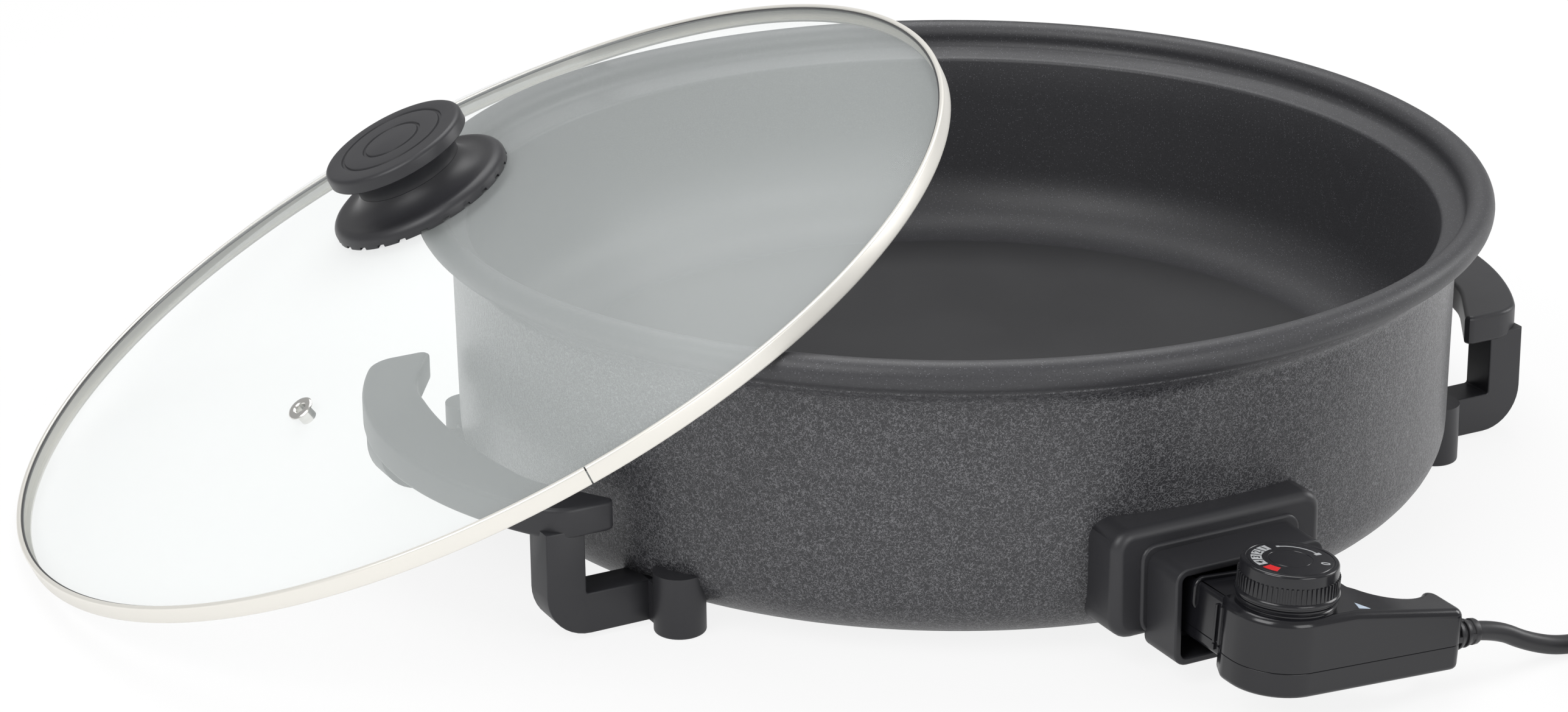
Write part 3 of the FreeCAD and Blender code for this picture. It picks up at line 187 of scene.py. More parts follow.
    coil_radius: length("Coil radius", "Outer radius of the coil's lead", 0.046)
    coil_pitch: length("Coil pitch", "Distance from turn to turn", 0.0077)
    coil_x: length("Coil X", "Coil's centre along X", 0.141)
    coil_y: length("Coil Y", "Coil's centre along Y", -0.314)
    tail_length: length("Tail length", "Lead between coil and mains plug", 0.034)
    mains_radius: length("Mains plug radius", "Radius of the mains plug", 0.0185)


class SkilletColours(PropertyGroup):
    """Colours of the finishes."""

    enamel_dark: colour("Enamel ground", "Ground of the hammered enamel", (0.030, 0.030, 0.034))
    enamel_light: colour("Enamel fleck", "Fleck in the hammered enamel", (0.175, 0.175, 0.185))
    coating: colour("Coating", "Non-stick coating of the pan", (0.040, 0.040, 0.044))
    coating_floor: colour("Coating floor", "Coating of the flat floor", (0.022, 0.022, 0.024))
    phenolic: colour("Phenolic", "Brackets, socket and knob", (0.022, 0.022, 0.025))
    plug: colour("Thermostat", "Glossy case and dial", (0.009, 0.009, 0.011))
    lead: colour("Lead", "Sheath of the lead", (0.020, 0.020, 0.022))
    # Painted sheen: a pale colour at low alpha that stands for the white surroundings reflected in the lid's
    # glass.
    glass: colour("Glass painted sheen", "Sheen of the lid's glass", (0.86, 0.91, 0.90))
    band: colour("Band", "Stainless band of the lid", (0.74, 0.72, 0.67))
    steel: colour("Steel", "Screws and clamps", (0.55, 0.55, 0.56))
    brass: colour("Brass", "Contacts", (0.72, 0.53, 0.22))
    sheath: colour("Sheath", "Oxidised tube of the heating element", (0.11, 0.10, 0.09))
    aluminium: colour("Aluminium", "Reflector under the heating element", (0.72, 0.72, 0.73))
    nickel: colour("Nickel", "Pins and vent", (0.74, 0.73, 0.70))
    probe: colour("Probe", "Tube of the temperature probe", (0.62, 0.62, 0.63))
    # Painted shade: near-black ring that stands for the shaded gap under the band's lip.
    gap_shade: colour("Gap shade", "Soft line under the band's lip", (0.05, 0.05, 0.052))
    ceramic: colour("Ceramic", "Terminal and switch blocks", (0.74, 0.71, 0.63))
    mark: colour("Dial mark", "Number boxes on the dial", (0.36, 0.37, 0.38))
    digit: colour("Dial digit", "Digits in the number boxes", (0.01, 0.01, 0.011))
    hot: colour("Dial hot mark", "Hottest box on the dial", (0.55, 0.010, 0.012))
    pointer: colour("Pointer", "Pointer on the case", (0.48, 0.56, 0.66))
    backdrop: colour("Backdrop", "Floor and background", (1.0, 1.0, 1.0))


# Modelling by hand
smallest_ring = 0.0003
same_point = 1e-6
soft_edge = 35.0
upright = Matrix.Rotation(math.pi / 2, 4, "X")


def drop_selection():
    if bpy.context.mode != "OBJECT":
        bpy.ops.object.mode_set(mode="OBJECT")
    bpy.ops.object.select_all(action="DESELECT")


def take(*pieces):
    """Select only these pieces, the last one active."""
    drop_selection()
    for piece in pieces:
        piece.select_set(True)
    bpy.context.view_layer.objects.active = pieces[-1]


def choose(piece, kind, test):
    """In edit mode, select the edges or faces that pass a test."""
    bpy.ops.mesh.select_mode(type=kind)
    bpy.ops.mesh.select_all(action="DESELECT")
    mesh = bmesh.from_edit_mesh(piece.data)
    mesh.normal_update()
    for part in mesh.edges if kind == "EDGE" else mesh.faces:
        if test(part):
            part.select_set(True)
    mesh.select_flush_mode()
    bmesh.update_edit_mesh(piece.data)


def face_outwards():
    bpy.ops.mesh.select_all(action="SELECT")
    bpy.ops.mesh.normals_make_consistent(inside=False)


def smooth(piece, degrees=soft_edge, weighted=False):
    take(piece)
    bpy.ops.object.shade_smooth_by_angle(angle=math.radians(degrees))
    if weighted:
        bpy.ops.object.modifier_add(type="WEIGHTED_NORMAL")
        piece.modifiers[-1].keep_sharp = True
        bpy.ops.object.modifier_apply(modifier=piece.modifiers[-1].name)
    return piece


def lay(piece, matrix):
    """Put a piece in its place and leave the place in its mesh."""
    take(piece)
    piece.matrix_world = matrix
    bpy.ops.object.transform_apply(location=True, rotation=True, scale=True)
    return piece


def join(name, *parts):
    take(*parts)
    if len(parts) > 1:
        bpy.ops.object.join()
    piece = bpy.context.view_layer.objects.active
    piece.name = name
    return piece


def sweep(x, y, radius, start, turn, steps):
    """Points round (x, y) over a turn in radians."""
    angles = [start + turn * k / steps for k in range(steps + 1)]
    return [(x + radius * math.cos(a), y + radius * math.sin(a)) for a in angles]


def arc(centre, height, radius, start, end, steps=8):
    """Points of an arc in a profile, angles in degrees from the outward direction."""
    return sweep(centre, height, radius, math.radians(start), math.radians(end - start), steps)


def three_point_arc(a, b, c, steps=12):
    """Points of the arc from a over b to c."""
    (ax, ay), (bx, by), (cx, cy) = a, b, c
    aa, bb, cc = ax * ax + ay * ay, bx * bx + by * by, cx * cx + cy * cy
    d = 2 * (ax * (by - cy) + bx * (cy - ay) + cx * (ay - by))
    x = (aa * (by - cy) + bb * (cy - ay) + cc * (ay - by)) / d
    y = (aa * (cx - bx) + bb * (ax - cx) + cc * (bx - ax)) / d
    start = math.atan2(ay - y, ax - x)
    turn = (math.atan2(cy - y, cx - x) - start) % (2 * math.pi)
    middle = (math.atan2(by - y, bx - x) - start) % (2 * math.pi)
    if middle > turn:
        turn -= 2 * math.pi
    return sweep(x, y, math.hypot(ax - x, ay - y), start, turn, steps)


def mirrored(points):
    """Points on the other side of the X axis, in the order that goes on round an outline."""
    return [(x, -y) for x, y in reversed(points)]


def turned(name, profile, steps=None, closed=False, degrees=soft_edge):
    """Draw a circle, then extrude and scale it along a profile of (radius, height)."""
    steps = steps or bpy.context.scene.skillet_sizes.ring_steps
    least = smallest_ring
    radius, height = max(profile[0][0], least), profile[0][1]
    drop_selection()
    bpy.ops.mesh.primitive_circle_add(vertices=steps, radius=radius, location=(0, 0, 0), enter_editmode=True)
    bpy.ops.transform.translate(value=(0, 0, height))
    for next_radius, next_height in profile[1:]:
        next_radius = max(next_radius, least)
        bpy.ops.mesh.extrude_region_move(TRANSFORM_OT_translate={"value": (0, 0, next_height - height)})
        if abs(next_radius - radius) > 1e-9:
            scale = next_radius / radius
            bpy.ops.transform.resize(value=(scale, scale, 1), center_override=(0, 0, next_height))
        radius, height = next_radius, next_height
    bpy.ops.mesh.select_all(action="SELECT")
    if closed:
        bpy.ops.mesh.remove_doubles(threshold=same_point)
    else:
        bpy.ops.mesh.fill_holes(sides=0)
    face_outwards()
    bpy.ops.object.mode_set(mode="OBJECT")
    piece = bpy.context.active_object
    piece.name = name
    return smooth(piece, degrees)


def plate(name, outline, low, high):
    """Fill a flat curve, make it a mesh and extrude it from low to high."""
    curve = bpy.data.curves.new(name, "CURVE")
    curve.dimensions = "2D"
    curve.fill_mode = "BOTH"
    spline = curve.splines.new("POLY")
    spline.points.add(len(outline) - 1)
    spline.use_cyclic_u = True
    for point, (x, y) in zip(spline.points, outline):
        point.co = (x, y, 0, 1)
    piece = bpy.data.objects.new(name, curve)
    bpy.context.scene.collection.objects.link(piece)
    take(piece)
    bpy.ops.object.convert(target="MESH")
    piece = bpy.context.active_object
    bpy.ops.object.mode_set(mode="EDIT")
    bpy.ops.mesh.select_all(action="SELECT")
    bpy.ops.mesh.remove_doubles(threshold=same_point)
    bpy.ops.mesh.dissolve_limited(angle_limit=math.radians(0.05))
    bpy.ops.mesh.select_all(action="SELECT")
    bpy.ops.transform.translate(value=(0, 0, low))
    bpy.ops.mesh.extrude_region_move(TRANSFORM_OT_translate={"value": (0, 0, high - low)})
    face_outwards()
    return piece


def is_rim(edge, height):
    """True for an edge of the flat face at a height."""
    level = all(abs(v.co.z - height) < 10 * same_point for v in edge.verts)
    return level and any(abs(f.normal.z) < 0.7 for f in edge.link_faces)


def round_rim(piece, height, radius, segments=4):
    choose(piece, "EDGE", lambda e: is_rim(e, height))
    bpy.ops.mesh.bevel(offset=radius, segments=segments, profile=0.5, affect="EDGES")


def rounded_plate(name, outline, low, high, low_edge=0.0, high_edge=0.0, segments=4):
    piece = plate(name, outline, low, high)
    if high_edge:
        round_rim(piece, high, high_edge, segments)
    if low_edge:
        round_rim(piece, low, low_edge, segments)
    bpy.ops.object.mode_set(mode="OBJECT")
    return smooth(piece, weighted=True)


def filleted(corners, steps=6):
    """Outline of straight sides with corners (x, y, radius) rounded."""
    points = []
    total = len(corners)
    for k, (x, y, radius) in enumerate(corners):
        if radius <= 0:
            points.append((x, y))
            continue
        corner = Vector((x, y))
        before = (Vector(corners[k - 1][:2]) - corner).normalized()
        after = (Vector(corners[(k + 1) % total][:2]) - corner).normalized()
        half = before.angle(after) / 2
        start = corner + before * (radius / math.tan(half))
        end = corner + after * (radius / math.tan(half))
        centre = corner + (before + after).normalized() * (radius / math.sin(half))
        middle = centre + (corner - centre).normalized() * radius
        points += three_point_arc(tuple(start), tuple(middle), tuple(end), steps)
    return points


def rectangle(x0, x1, y0, y1, radius, steps=6):
    return filleted([(x0, y0, radius), (x1, y0, radius), (x1, y1, radius), (x0, y1, radius)], steps)


def bar(name, low, high, edge):
    """A cube stretched between two corners, with bevelled edges."""
    drop_selection()
    size = Vector(high) - Vector(low)
    bpy.ops.mesh.primitive_cube_add(size=1.0, location=(0, 0, 0), enter_editmode=True)
    bpy.ops.transform.resize(value=tuple(size), center_override=(0, 0, 0))
    bpy.ops.transform.translate(value=tuple((Vector(low) + Vector(high)) / 2))
    bpy.ops.mesh.select_all(action="SELECT")
    bpy.ops.mesh.bevel(offset=edge, segments=2, profile=0.5, affect="EDGES")
    bpy.ops.object.mode_set(mode="OBJECT")
    piece = bpy.context.active_object
    piece.name = name
    return smooth(piece, weighted=True)


def cut(piece, tool):
    """Take the tool's shape out of a piece."""
    take(piece)
    bpy.ops.object.modifier_add(type="BOOLEAN")
    piece.modifiers[-1].object = tool
    piece.modifiers[-1].solver = "EXACT"
    bpy.ops.object.modifier_apply(modifier=piece.modifiers[-1].name)
    bpy.data.objects.remove(tool)
    return piece


def round_about(piece, steps):
    """Spin copies of a piece about the Z axis."""
    take(piece)
    bpy.ops.object.mode_set(mode="EDIT")
    bpy.ops.mesh.select_all(action="SELECT")
    bpy.ops.mesh.spin(steps=steps, dupli=True, angle=2 * math.pi, center=(0, 0, 0), axis=(0, 0, 1))
    bpy.ops.mesh.select_all(action="SELECT")
    bpy.ops.mesh.remove_doubles(threshold=same_point)
    face_outwards()
    bpy.ops.object.mode_set(mode="OBJECT")
    return piece


def leaning(sizes):
    """Where a lid that is modelled level goes."""
    return (Matrix.Translation((-sizes.lid_offset * math.cos(sizes.lid_heading),
                                -sizes.lid_offset * math.sin(sizes.lid_heading), sizes.lid_height))
            @ Matrix.Rotation(sizes.lid_heading, 4, "Z") @ Matrix.Rotation(-sizes.lid_tilt, 4, "Y"))


def drooping(sizes):
    """How the thermostat hangs in its socket."""
    pivot = Vector((sizes.socket_centre, 0, sizes.plug_pivot))
    return Matrix.Translation(pivot) @ Matrix.Rotation(sizes.plug_droop, 4, "Y") @ Matrix.Translation(-pivot)


def dome(sizes, inside=False):
    """Sphere radius and centre height of the glass."""
    edge = sizes.band_radius - sizes.band_sheet - 0.0003
    rise = sizes.glass_apex - sizes.glass_edge_top
    radius = (edge * edge + rise * rise) / (2 * rise)
    return (radius - sizes.glass_thickness if inside else radius), sizes.glass_apex - radius, edge


def dome_height(sizes, radius, inside=False):
    sphere, centre, _ = dome(sizes, inside)
    return centre + math.sqrt(sphere * sphere - radius * radius)


# Finishes
def put(tree, kind, sockets=None, **settings):
    """Add a node, set it, and fill its sockets with values or links."""
    made = tree.nodes.new(kind)
    for key, value in settings.items():
        setattr(made, key, value)
    for key, value in (sockets or {}).items():
        if isinstance(value, bpy.types.NodeSocket):
            tree.links.new(value, made.inputs[key])
        else:
            made.inputs[key].default_value = value
    return made


def new_effect(name, inputs, outputs):
    """A shader node group with named inputs and outputs."""
    tree = bpy.data.node_groups.new(name, "ShaderNodeTree")
    for socket, kind, value in inputs:
        made = tree.interface.new_socket(name=socket, in_out="INPUT", socket_type=kind)
        if value is not None:
            made.default_value = value
    for socket in outputs:
        tree.interface.new_socket(name=socket, in_out="OUTPUT", socket_type="NodeSocketFloat")
    return tree, tree.nodes.new("NodeGroupInput"), tree.nodes.new("NodeGroupOutput")


def linked(tree, node, **outputs):
    """Link outputs to a node's inputs of these names, an underscore standing for a space."""
    for key, output in outputs.items():
        tree.links.new(output, node.inputs[key.replace("_", " ")])


def calculated(tree, operation, *values):
    """What a math node makes of values or outputs."""
    return put(tree, "ShaderNodeMath", dict(enumerate(values)), operation=operation).outputs[0]


def ranged(tree, value, low, high, to_low=0.0, to_high=1.0, interpolation="LINEAR"):
    """A value's range mapped to another range."""
    sockets = {"Value": value, "From Min": low, "From Max": high, "To Min": to_low, "To Max": to_high}
    return put(tree, "ShaderNodeMapRange", sockets, interpolation_type=interpolation).outputs[0]


def noise(tree, inlet, scale=None, **sockets):
    """Noise on a group's own Vector, at its own Scale unless another is given."""
    sockets["Vector"] = inlet.outputs["Vector"]
    sockets["Scale"] = inlet.outputs["Scale"] if scale is None else scale
    return put(tree, "ShaderNodeTexNoise", sockets).outputs["Fac"]


def make_effects():
    """Fleck of hammered enamel, fine grain, sparkle and handling marks."""
    number = "NodeSocketFloat"
    place = ("Vector", "NodeSocketVector", None)

    inputs = [place, ("Scale", number, 800.0), ("Width", number, 0.08)]
    tree, inlet, outlet = new_effect("Hammered fleck", inputs, ["Fleck", "Height"])
    worm = noise(tree, inlet, Detail=1.0, Roughness=0.4, Distortion=0.9)
    away = calculated(tree, "ABSOLUTE", calculated(tree, "SUBTRACT", worm, 0.5))
    line = ranged(tree, away, 0.0, inlet.outputs["Width"], 1.0, 0.0, "SMOOTHSTEP")
    patch = noise(tree, inlet, calculated(tree, "MULTIPLY", inlet.outputs["Scale"], 0.43), Detail=2.0)
    broken = ranged(tree, patch, 0.22, 0.44)
    linked(tree, outlet, Fleck=calculated(tree, "MULTIPLY", line, broken), Height=worm)

    inputs = [place, ("Scale", number, 2500.0), ("Amount", number, 0.2)]
    tree, inlet, outlet = new_effect("Fine grain", inputs, ["Tone", "Height"])
    grain = noise(tree, inlet, Detail=2.0)
    lift = calculated(tree, "SUBTRACT", grain, 0.5)
    tone = calculated(tree, "MULTIPLY_ADD", lift, inlet.outputs["Amount"], 1.0)
    linked(tree, outlet, Tone=tone, Height=grain)

    inputs = [place, ("Scale", number, 1300.0), ("Share", number, 0.25)]
    tree, inlet, outlet = new_effect("Sparkle", inputs, ["Sparkle"])
    cells = put(tree, "ShaderNodeTexVoronoi", {key: inlet.outputs[key] for key in ("Vector", "Scale")})
    dot = ranged(tree, cells.outputs["Distance"], 0.18, 0.42, 1.0, 0.0)
    pick = put(tree, "ShaderNodeSeparateColor", {"Color": cells.outputs["Color"]})
    some = calculated(tree, "LESS_THAN", pick.outputs["Red"], inlet.outputs["Share"])
    linked(tree, outlet, Sparkle=calculated(tree, "MULTIPLY", dot, some))

    inputs = [place, ("Scale", number, 22.0), ("Low", number, 0.3), ("High", number, 0.45)]
    tree, inlet, outlet = new_effect("Handling", inputs, ["Roughness"])
    blot = noise(tree, inlet, Detail=4.0, Roughness=0.6)
    linked(tree, outlet, Roughness=ranged(tree, blot, 0.3, 0.7, inlet.outputs["Low"], inlet.outputs["High"]))


def effect(tree, name, **values):
    made = put(tree, "ShaderNodeGroup", node_tree=bpy.data.node_groups[name])
    linked(tree, made, Vector=put(tree, "ShaderNodeTexCoord").outputs["Object"])
    for key, value in values.items():
        made.inputs[key].default_value = value
    return made


def new_material(name, **plain):
    material = bpy.data.materials.new(name)
    material.use_nodes = True
    shader = material.node_tree.nodes["Principled BSDF"]
    for key, value in plain.items():
        shader.inputs[key.replace("_", " ")].default_value = value
    return material, material.node_tree, shader


def mixed(tree, factor, a, b):
    """Colour between two colours."""
    blend = put(tree, "ShaderNodeMix", data_type="RGBA")
    if isinstance(factor, bpy.types.NodeSocket):
        tree.links.new(factor, blend.inputs["Factor"])
    else:
        blend.inputs["Factor"].default_value = factor
    for socket, value in (("A", a), ("B", b)):
        target = [s for s in blend.inputs if s.name == socket and s.type == "RGBA"][0]
        if isinstance(value, bpy.types.NodeSocket):
            tree.links.new(value, target)
        else:
            target.default_value = (*value, 1.0)
    return [s for s in blend.outputs if s.type == "RGBA"][0]


def scaled(colour_value, factor):
    return tuple(min(c * factor, 1.0) for c in colour_value)


def surface(tree, shader, tone, handling, relief, depth, strength=0.6):
    """Link a finish's colour, gloss and relief to its shader."""
    sockets = {"Height": relief.outputs["Height"], "Distance": depth, "Strength": strength}
    bump = put(tree, "ShaderNodeBump", sockets)
    linked(tree, shader, Base_Color=tone, Roughness=handling.outputs["Roughness"],
           Normal=bump.outputs["Normal"])


def grained(name, shade, low, high, scale=2500.0, amount=0.3, relief=0.00002, stretch=None, **plain):
    """A finish with fine grain in its tone and relief, and handling marks in its gloss."""
    material, tree, shader = new_material(name, **plain)
    grain = effect(tree, "Fine grain", Scale=scale, Amount=amount)
    if stretch:
        place = put(tree, "ShaderNodeTexCoord")
        mapping = put(tree, "ShaderNodeMapping", {"Vector": place.outputs["Object"], "Scale": stretch})
        linked(tree, grain, Vector=mapping.outputs["Vector"])
    handling = effect(tree, "Handling", Low=low, High=high)
    tone = mixed(tree, grain.outputs["Tone"], scaled(shade, 0.72), scaled(shade, 1.12))
    surface(tree, shader, tone, handling, grain, relief)
    return material


def hammered_enamel(shades):
    """Dark enamel with a pale wormy fleck and a shallow hammered relief."""
    plain = {"Coat_Weight": 0.25, "Coat_Roughness": 0.22, "Metallic": 0.15}
    material, tree, shader = new_material("hammered enamel", **plain)
    fleck = effect(tree, "Hammered fleck", Scale=950.0, Width=0.075)
    grain = effect(tree, "Fine grain", Scale=2600.0, Amount=1.0)
    handling = effect(tree, "Handling", Scale=9.0, Low=0.34, High=0.46)
    tone = mixed(tree, fleck.outputs["Fleck"], shades.enamel_dark, shades.enamel_light)
    deep = mixed(tree, grain.outputs["Height"], scaled(shades.enamel_dark, 0.6), tone)
    surface(tree, shader, mixed(tree, 0.65, deep, tone), handling, fleck, 0.00032, 0.75)
    return material


def nonstick_coating(shades, s):
    """Matte coating with a fine sparkle, darker on the flat floor."""
    material, tree, shader = new_material("non-stick coating")
    sparkle = effect(tree, "Sparkle", Scale=1900.0, Share=0.14)
    grain = effect(tree, "Fine grain", Scale=1700.0, Amount=1.0)
    handling = effect(tree, "Handling", Scale=14.0, Low=0.42, High=0.52)
    place = put(tree, "ShaderNodeTexCoord")
    apart = put(tree, "ShaderNodeSeparateXYZ", {0: place.outputs["Object"]})
    flat = put(tree, "ShaderNodeCombineXYZ", {0: apart.outputs[0], 1: apart.outputs[1]})
    out = put(tree, "ShaderNodeVectorMath", {0: flat.outputs[0]}, operation="LENGTH")
    inside = ranged(tree, out.outputs["Value"], s.floor_radius - 0.0015, s.floor_radius, 1.0, 0.0)
    low = calculated(tree, "LESS_THAN", apart.outputs[2], s.floor_height + 0.0008)
    floor = calculated(tree, "MULTIPLY", inside, low)
    wall = mixed(tree, grain.outputs["Height"], scaled(shades.coating, 0.6), scaled(shades.coating, 1.35))
    bright = mixed(tree, sparkle.outputs["Sparkle"], wall, scaled(shades.coating, 3.4))
    surface(tree, shader, mixed(tree, floor, bright, shades.coating_floor), handling, grain, 0.00008)
    return material


def lid_glass_finish(shades):
    # The pale base colour at low alpha is painted sheen for the reflected surroundings; the handling noise
    # makes that painted sheen a little blotchy.
    material, tree, shader = new_material("lid glass", Roughness=0.22, Alpha=0.19, IOR=1.5)
    handling = effect(tree, "Handling", Scale=6.0, Low=0.0, High=1.0)
    linked(tree, shader, Base_Color=mixed(tree, handling.outputs["Roughness"], scaled(shades.glass, 0.97),
                                          shades.glass))
    return material


def make_finishes(shades, sizes):
    """Every finish by the record's slot."""
    make_effects()
    steel = shades.steel
    return {
        "nonstick_enamel": nonstick_coating(shades, sizes),
        "hammered_enamel": hammered_enamel(shades),
        "steel": grained("zinc-plated steel", steel, 0.28, 0.42, 3000.0, 0.5, Metallic=1.0),
        "phenolic": grained("satin phenolic", shades.phenolic, 0.36, 0.47, 1400.0, 0.7, 0.00003),
        "element_sheath": grained("oxidised sheath", shades.sheath, 0.5, 0.65, 1800.0, 0.8, Metallic=0.8),
        "aluminium_sheet": grained("aluminium sheet", shades.aluminium, 0.25, 0.4, 900.0, 0.3,
                                   stretch=(1.0, 12.0, 1.0), Metallic=1.0),
        "ceramic": grained("unglazed ceramic", shades.ceramic, 0.7, 0.85, 2200.0, 0.5, 0.00005),
        "nickel": grained("nickel plate", shades.nickel, 0.12, 0.22, 2600.0, 0.2, Metallic=1.0),
        "lid_glass": lid_glass_finish(shades),
        "band_steel": grained("bright stainless band", shades.band, 0.30, 0.36, 2600.0, 0.1, 0.000004,
                              Metallic=0.45),
        # Near-black painted shade for the gap under the band's lip, given the silicone slot.
        "silicone": grained("gap_shade", shades.gap_shade, 0.5, 0.6),
        "plug_plastic": grained("glossy black moulding", shades.plug, 0.16, 0.24, 1100.0, 0.5, 0.000012),
        "brass": grained("plain brass", shades.brass, 0.25, 0.4, 2600.0, 0.4, Metallic=1.0),
        "probe_steel": grained("polished probe", shades.probe, 0.15, 0.25, 2600.0, 0.2, Metallic=1.0),
        "lead_rubber": grained("lead sheath", shades.lead, 0.34, 0.45, 1500.0, 0.5, 0.00003),
        "mark": grained("dial print", shades.mark, 0.3, 0.4),
        "hot": grained("dial red print", shades.hot, 0.3, 0.4),
        "digits": grained("dial digits", shades.digit, 0.3, 0.4),
        "pointer": grained("pointer print", shades.pointer, 0.3, 0.4),
    }


finishes = {}


def dress(piece, slot, body, *replaced, finish=None):
    """Give a piece its finish, its body and the nodes it stands for."""
    piece.data.materials.clear()
    piece.data.materials.append(finishes[finish or slot])
    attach(piece, body)
    if replaced:
        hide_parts(*replaced)
    return piece


class PieceOperator:
    """What every operator here shares."""

    bl_options = {"REGISTER", "UNDO"}

    def execute(self, context):
        self.build(context.scene.skillet_sizes)
        return {"FINISHED"}


class SKILLET_OT_stage(PieceOperator, Operator):
    """Camera at the photograph's angle, pale floor and soft light"""

    bl_idname = "skillet.stage"
    bl_label = "Stage"

    def build(self, s):
        shades = bpy.context.scene.skillet_colours
        self.add_camera()
        self.add_floor(shades)
        self.add_room(shades)
        self.add_lamps()
        bpy.context.scene.view_settings.view_transform = "Standard"

    @staticmethod
    def add_camera():
        place = (-0.7900, -1.3682, 0.6566)
        yaw, pitch, roll = -0.042, 0.370, 0.0103
        part_turn = math.radians(-30.0)
        focal_length = 97.83
        level, fall = math.cos(pitch), math.sin(pitch)
        forward = Vector((math.sin(yaw) * level, math.cos(yaw) * level, -fall))
        right = Vector((math.cos(yaw), -math.sin(yaw), 0))
        down = forward.cross(right)
        across = math.cos(roll) * right + math.sin(roll) * down
        below = -math.sin(roll) * right + math.cos(roll) * down
        axes = Matrix((across, -below, -forward)).transposed()
        drop_selection()
        rotation = (Matrix.Rotation(part_turn, 3, "Z") @ axes).to_euler()
        bpy.ops.object.camera_add(location=place, rotation=rotation)
        camera = bpy.context.active_object
        camera.data.lens = focal_length
        camera.data.sensor_width = 36.0
        camera.data.sensor_fit = "HORIZONTAL"
        camera.data.clip_start = 0.05
        camera.data.dof.use_dof = False
        bpy.context.scene.camera = camera

    @staticmethod
    def add_floor(shades):
        floor_size = 9.0
        paper_share, mirror_share = 0.86, 0.5
        bpy.ops.mesh.primitive_plane_add(size=floor_size, location=(0, 0, 0), enter_editmode=True)
        bpy.ops.mesh.subdivide(number_cuts=3)
        bpy.ops.object.mode_set(mode="OBJECT")
        floor = bpy.context.active_object
        floor.name = "floor"
        material = bpy.data.materials.new("pale floor")
        material.use_nodes = True
        tree = material.node_tree
        tree.nodes.clear()
        ray = put(tree, "ShaderNodeLightPath").outputs
        matte = put(tree, "ShaderNodeBsdfDiffuse", {"Color": (*scaled(shades.backdrop, 0.86), 1.0)})
        white = put(tree, "ShaderNodeEmission", {"Color": (*shades.backdrop, 1.0), "Strength": 1.0})
        seen = calculated(tree, "MAXIMUM", ray["Is Camera Ray"], ray["Is Transmission Ray"])
        paper = calculated(tree, "MULTIPLY", seen, paper_share)
        share = calculated(tree, "MULTIPLY_ADD", ray["Is Glossy Ray"], mirror_share, paper)
        both = put(tree, "ShaderNodeMixShader", {0: share, 1: matte.outputs[0], 2: white.outputs[0]})
        put(tree, "ShaderNodeOutputMaterial", {"Surface": both.outputs[0]})
        floor.data.materials.append(material)

    @staticmethod
    def add_room(shades):
        room_light = 0.42
        world = bpy.data.worlds.new("soft room")
        world.use_nodes = True
        bpy.context.scene.world = world
        tree = world.node_tree
        tree.nodes.clear()
        seen = put(tree, "ShaderNodeLightPath").outputs["Is Camera Ray"]
        white = (*shades.backdrop, 1.0)
        room, paper = [put(tree, "ShaderNodeBackground", {"Color": white, "Strength": light})
                       for light in (room_light, 1.0)]
        both = put(tree, "ShaderNodeMixShader", {0: seen, 1: room.outputs[0], 2: paper.outputs[0]})
        put(tree, "ShaderNodeOutputWorld", {"Surface": both.outputs[0]})

    @staticmethod
    def add_lamps():
        # Name, place, target, side in metres and power in watts
        lamps = [
            ("key softbox", (-1.35, -0.55, 1.35), (0, 0, 0.05), 1.1, 17.0),
            ("front softbox", (0.35, -1.9, 0.75), (0, 0, 0.08), 1.0, 11.0),
            ("top softbox", (0.25, 0.55, 1.6), (0, 0, 0.05), 1.3, 17.0),
            ("right strip", (1.6, -0.35, 0.7), (0.1, 0, 0.08), 0.7, 8.0),
        ]
        for name, place, target, side, power in lamps:
            aim = (Vector(target) - Vector(place)).to_track_quat("-Z", "Y").to_euler()
            drop_selection()
            bpy.ops.object.light_add(type="AREA", location=place, rotation=aim)
            lamp = bpy.context.active_object
            lamp.name = name
            lamp.data.shape = "SQUARE"
            lamp.data.size = side
            lamp.data.energy = power


class SKILLET_OT_inner_pan(PieceOperator, Operator):
    """Pan with its floor, wall, lid ledge and rolled rim"""

    bl_idname = "skillet.inner_pan"
    bl_label = "Pan"

    def build(self, s):
        bead_height = s.rim_top - s.bead_radius
        bead_centre = s.rim_radius - s.bead_radius
        corner_height = s.floor_height + s.corner_radius
        side = s.floor_radius + s.corner_radius
        under = s.ledge_height - s.rim_drop
        rise = s.ledge_inner_height - 0.0016 - corner_height
        profile = [(0, s.floor_height), (s.floor_radius * 0.5, s.floor_height),
                   (s.floor_radius - 0.0012, s.floor_height),
                   (s.floor_radius - 0.0006, s.floor_height + 0.00015)]
        profile += arc(s.floor_radius, corner_height, s.corner_radius, -90, 0, 12)
        profile += [(side + (s.ledge_inner_radius - side) * k / 3,
                     corner_height + rise * k / 3) for k in (1, 2, 3)]
        profile += [(s.ledge_inner_radius + 0.0003, s.ledge_inner_height - 0.0007),
                    (s.ledge_inner_radius + 0.0011, s.ledge_inner_height - 0.0001),
                    (s.ledge_inner_radius + 0.0022, s.ledge_inner_height + 0.0002),
                    (s.ledge_radius - 0.0012, s.ledge_height - 0.0005),
                    (s.ledge_radius - 0.0003, s.ledge_height + 0.0001),
                    (s.ledge_radius + 0.0005, s.ledge_height + 0.0011)]
        profile += arc(bead_centre, bead_height, s.bead_radius, 196, -90, 22)
        profile += [(bead_centre - 0.0014, under), (bead_centre - 0.006, under),
                    (s.ledge_inner_radius + s.pan_wall, s.ledge_inner_height - s.pan_floor),
                    (side + s.pan_wall + 0.0005, corner_height)]
        profile += arc(s.floor_radius, corner_height, s.corner_radius + s.pan_floor, -6, -90, 8)
        profile += [(0, s.floor_height - s.pan_floor)]
        dress(turned("pan", profile, degrees=50.0), "nonstick_enamel", "pan", "inner_pan")


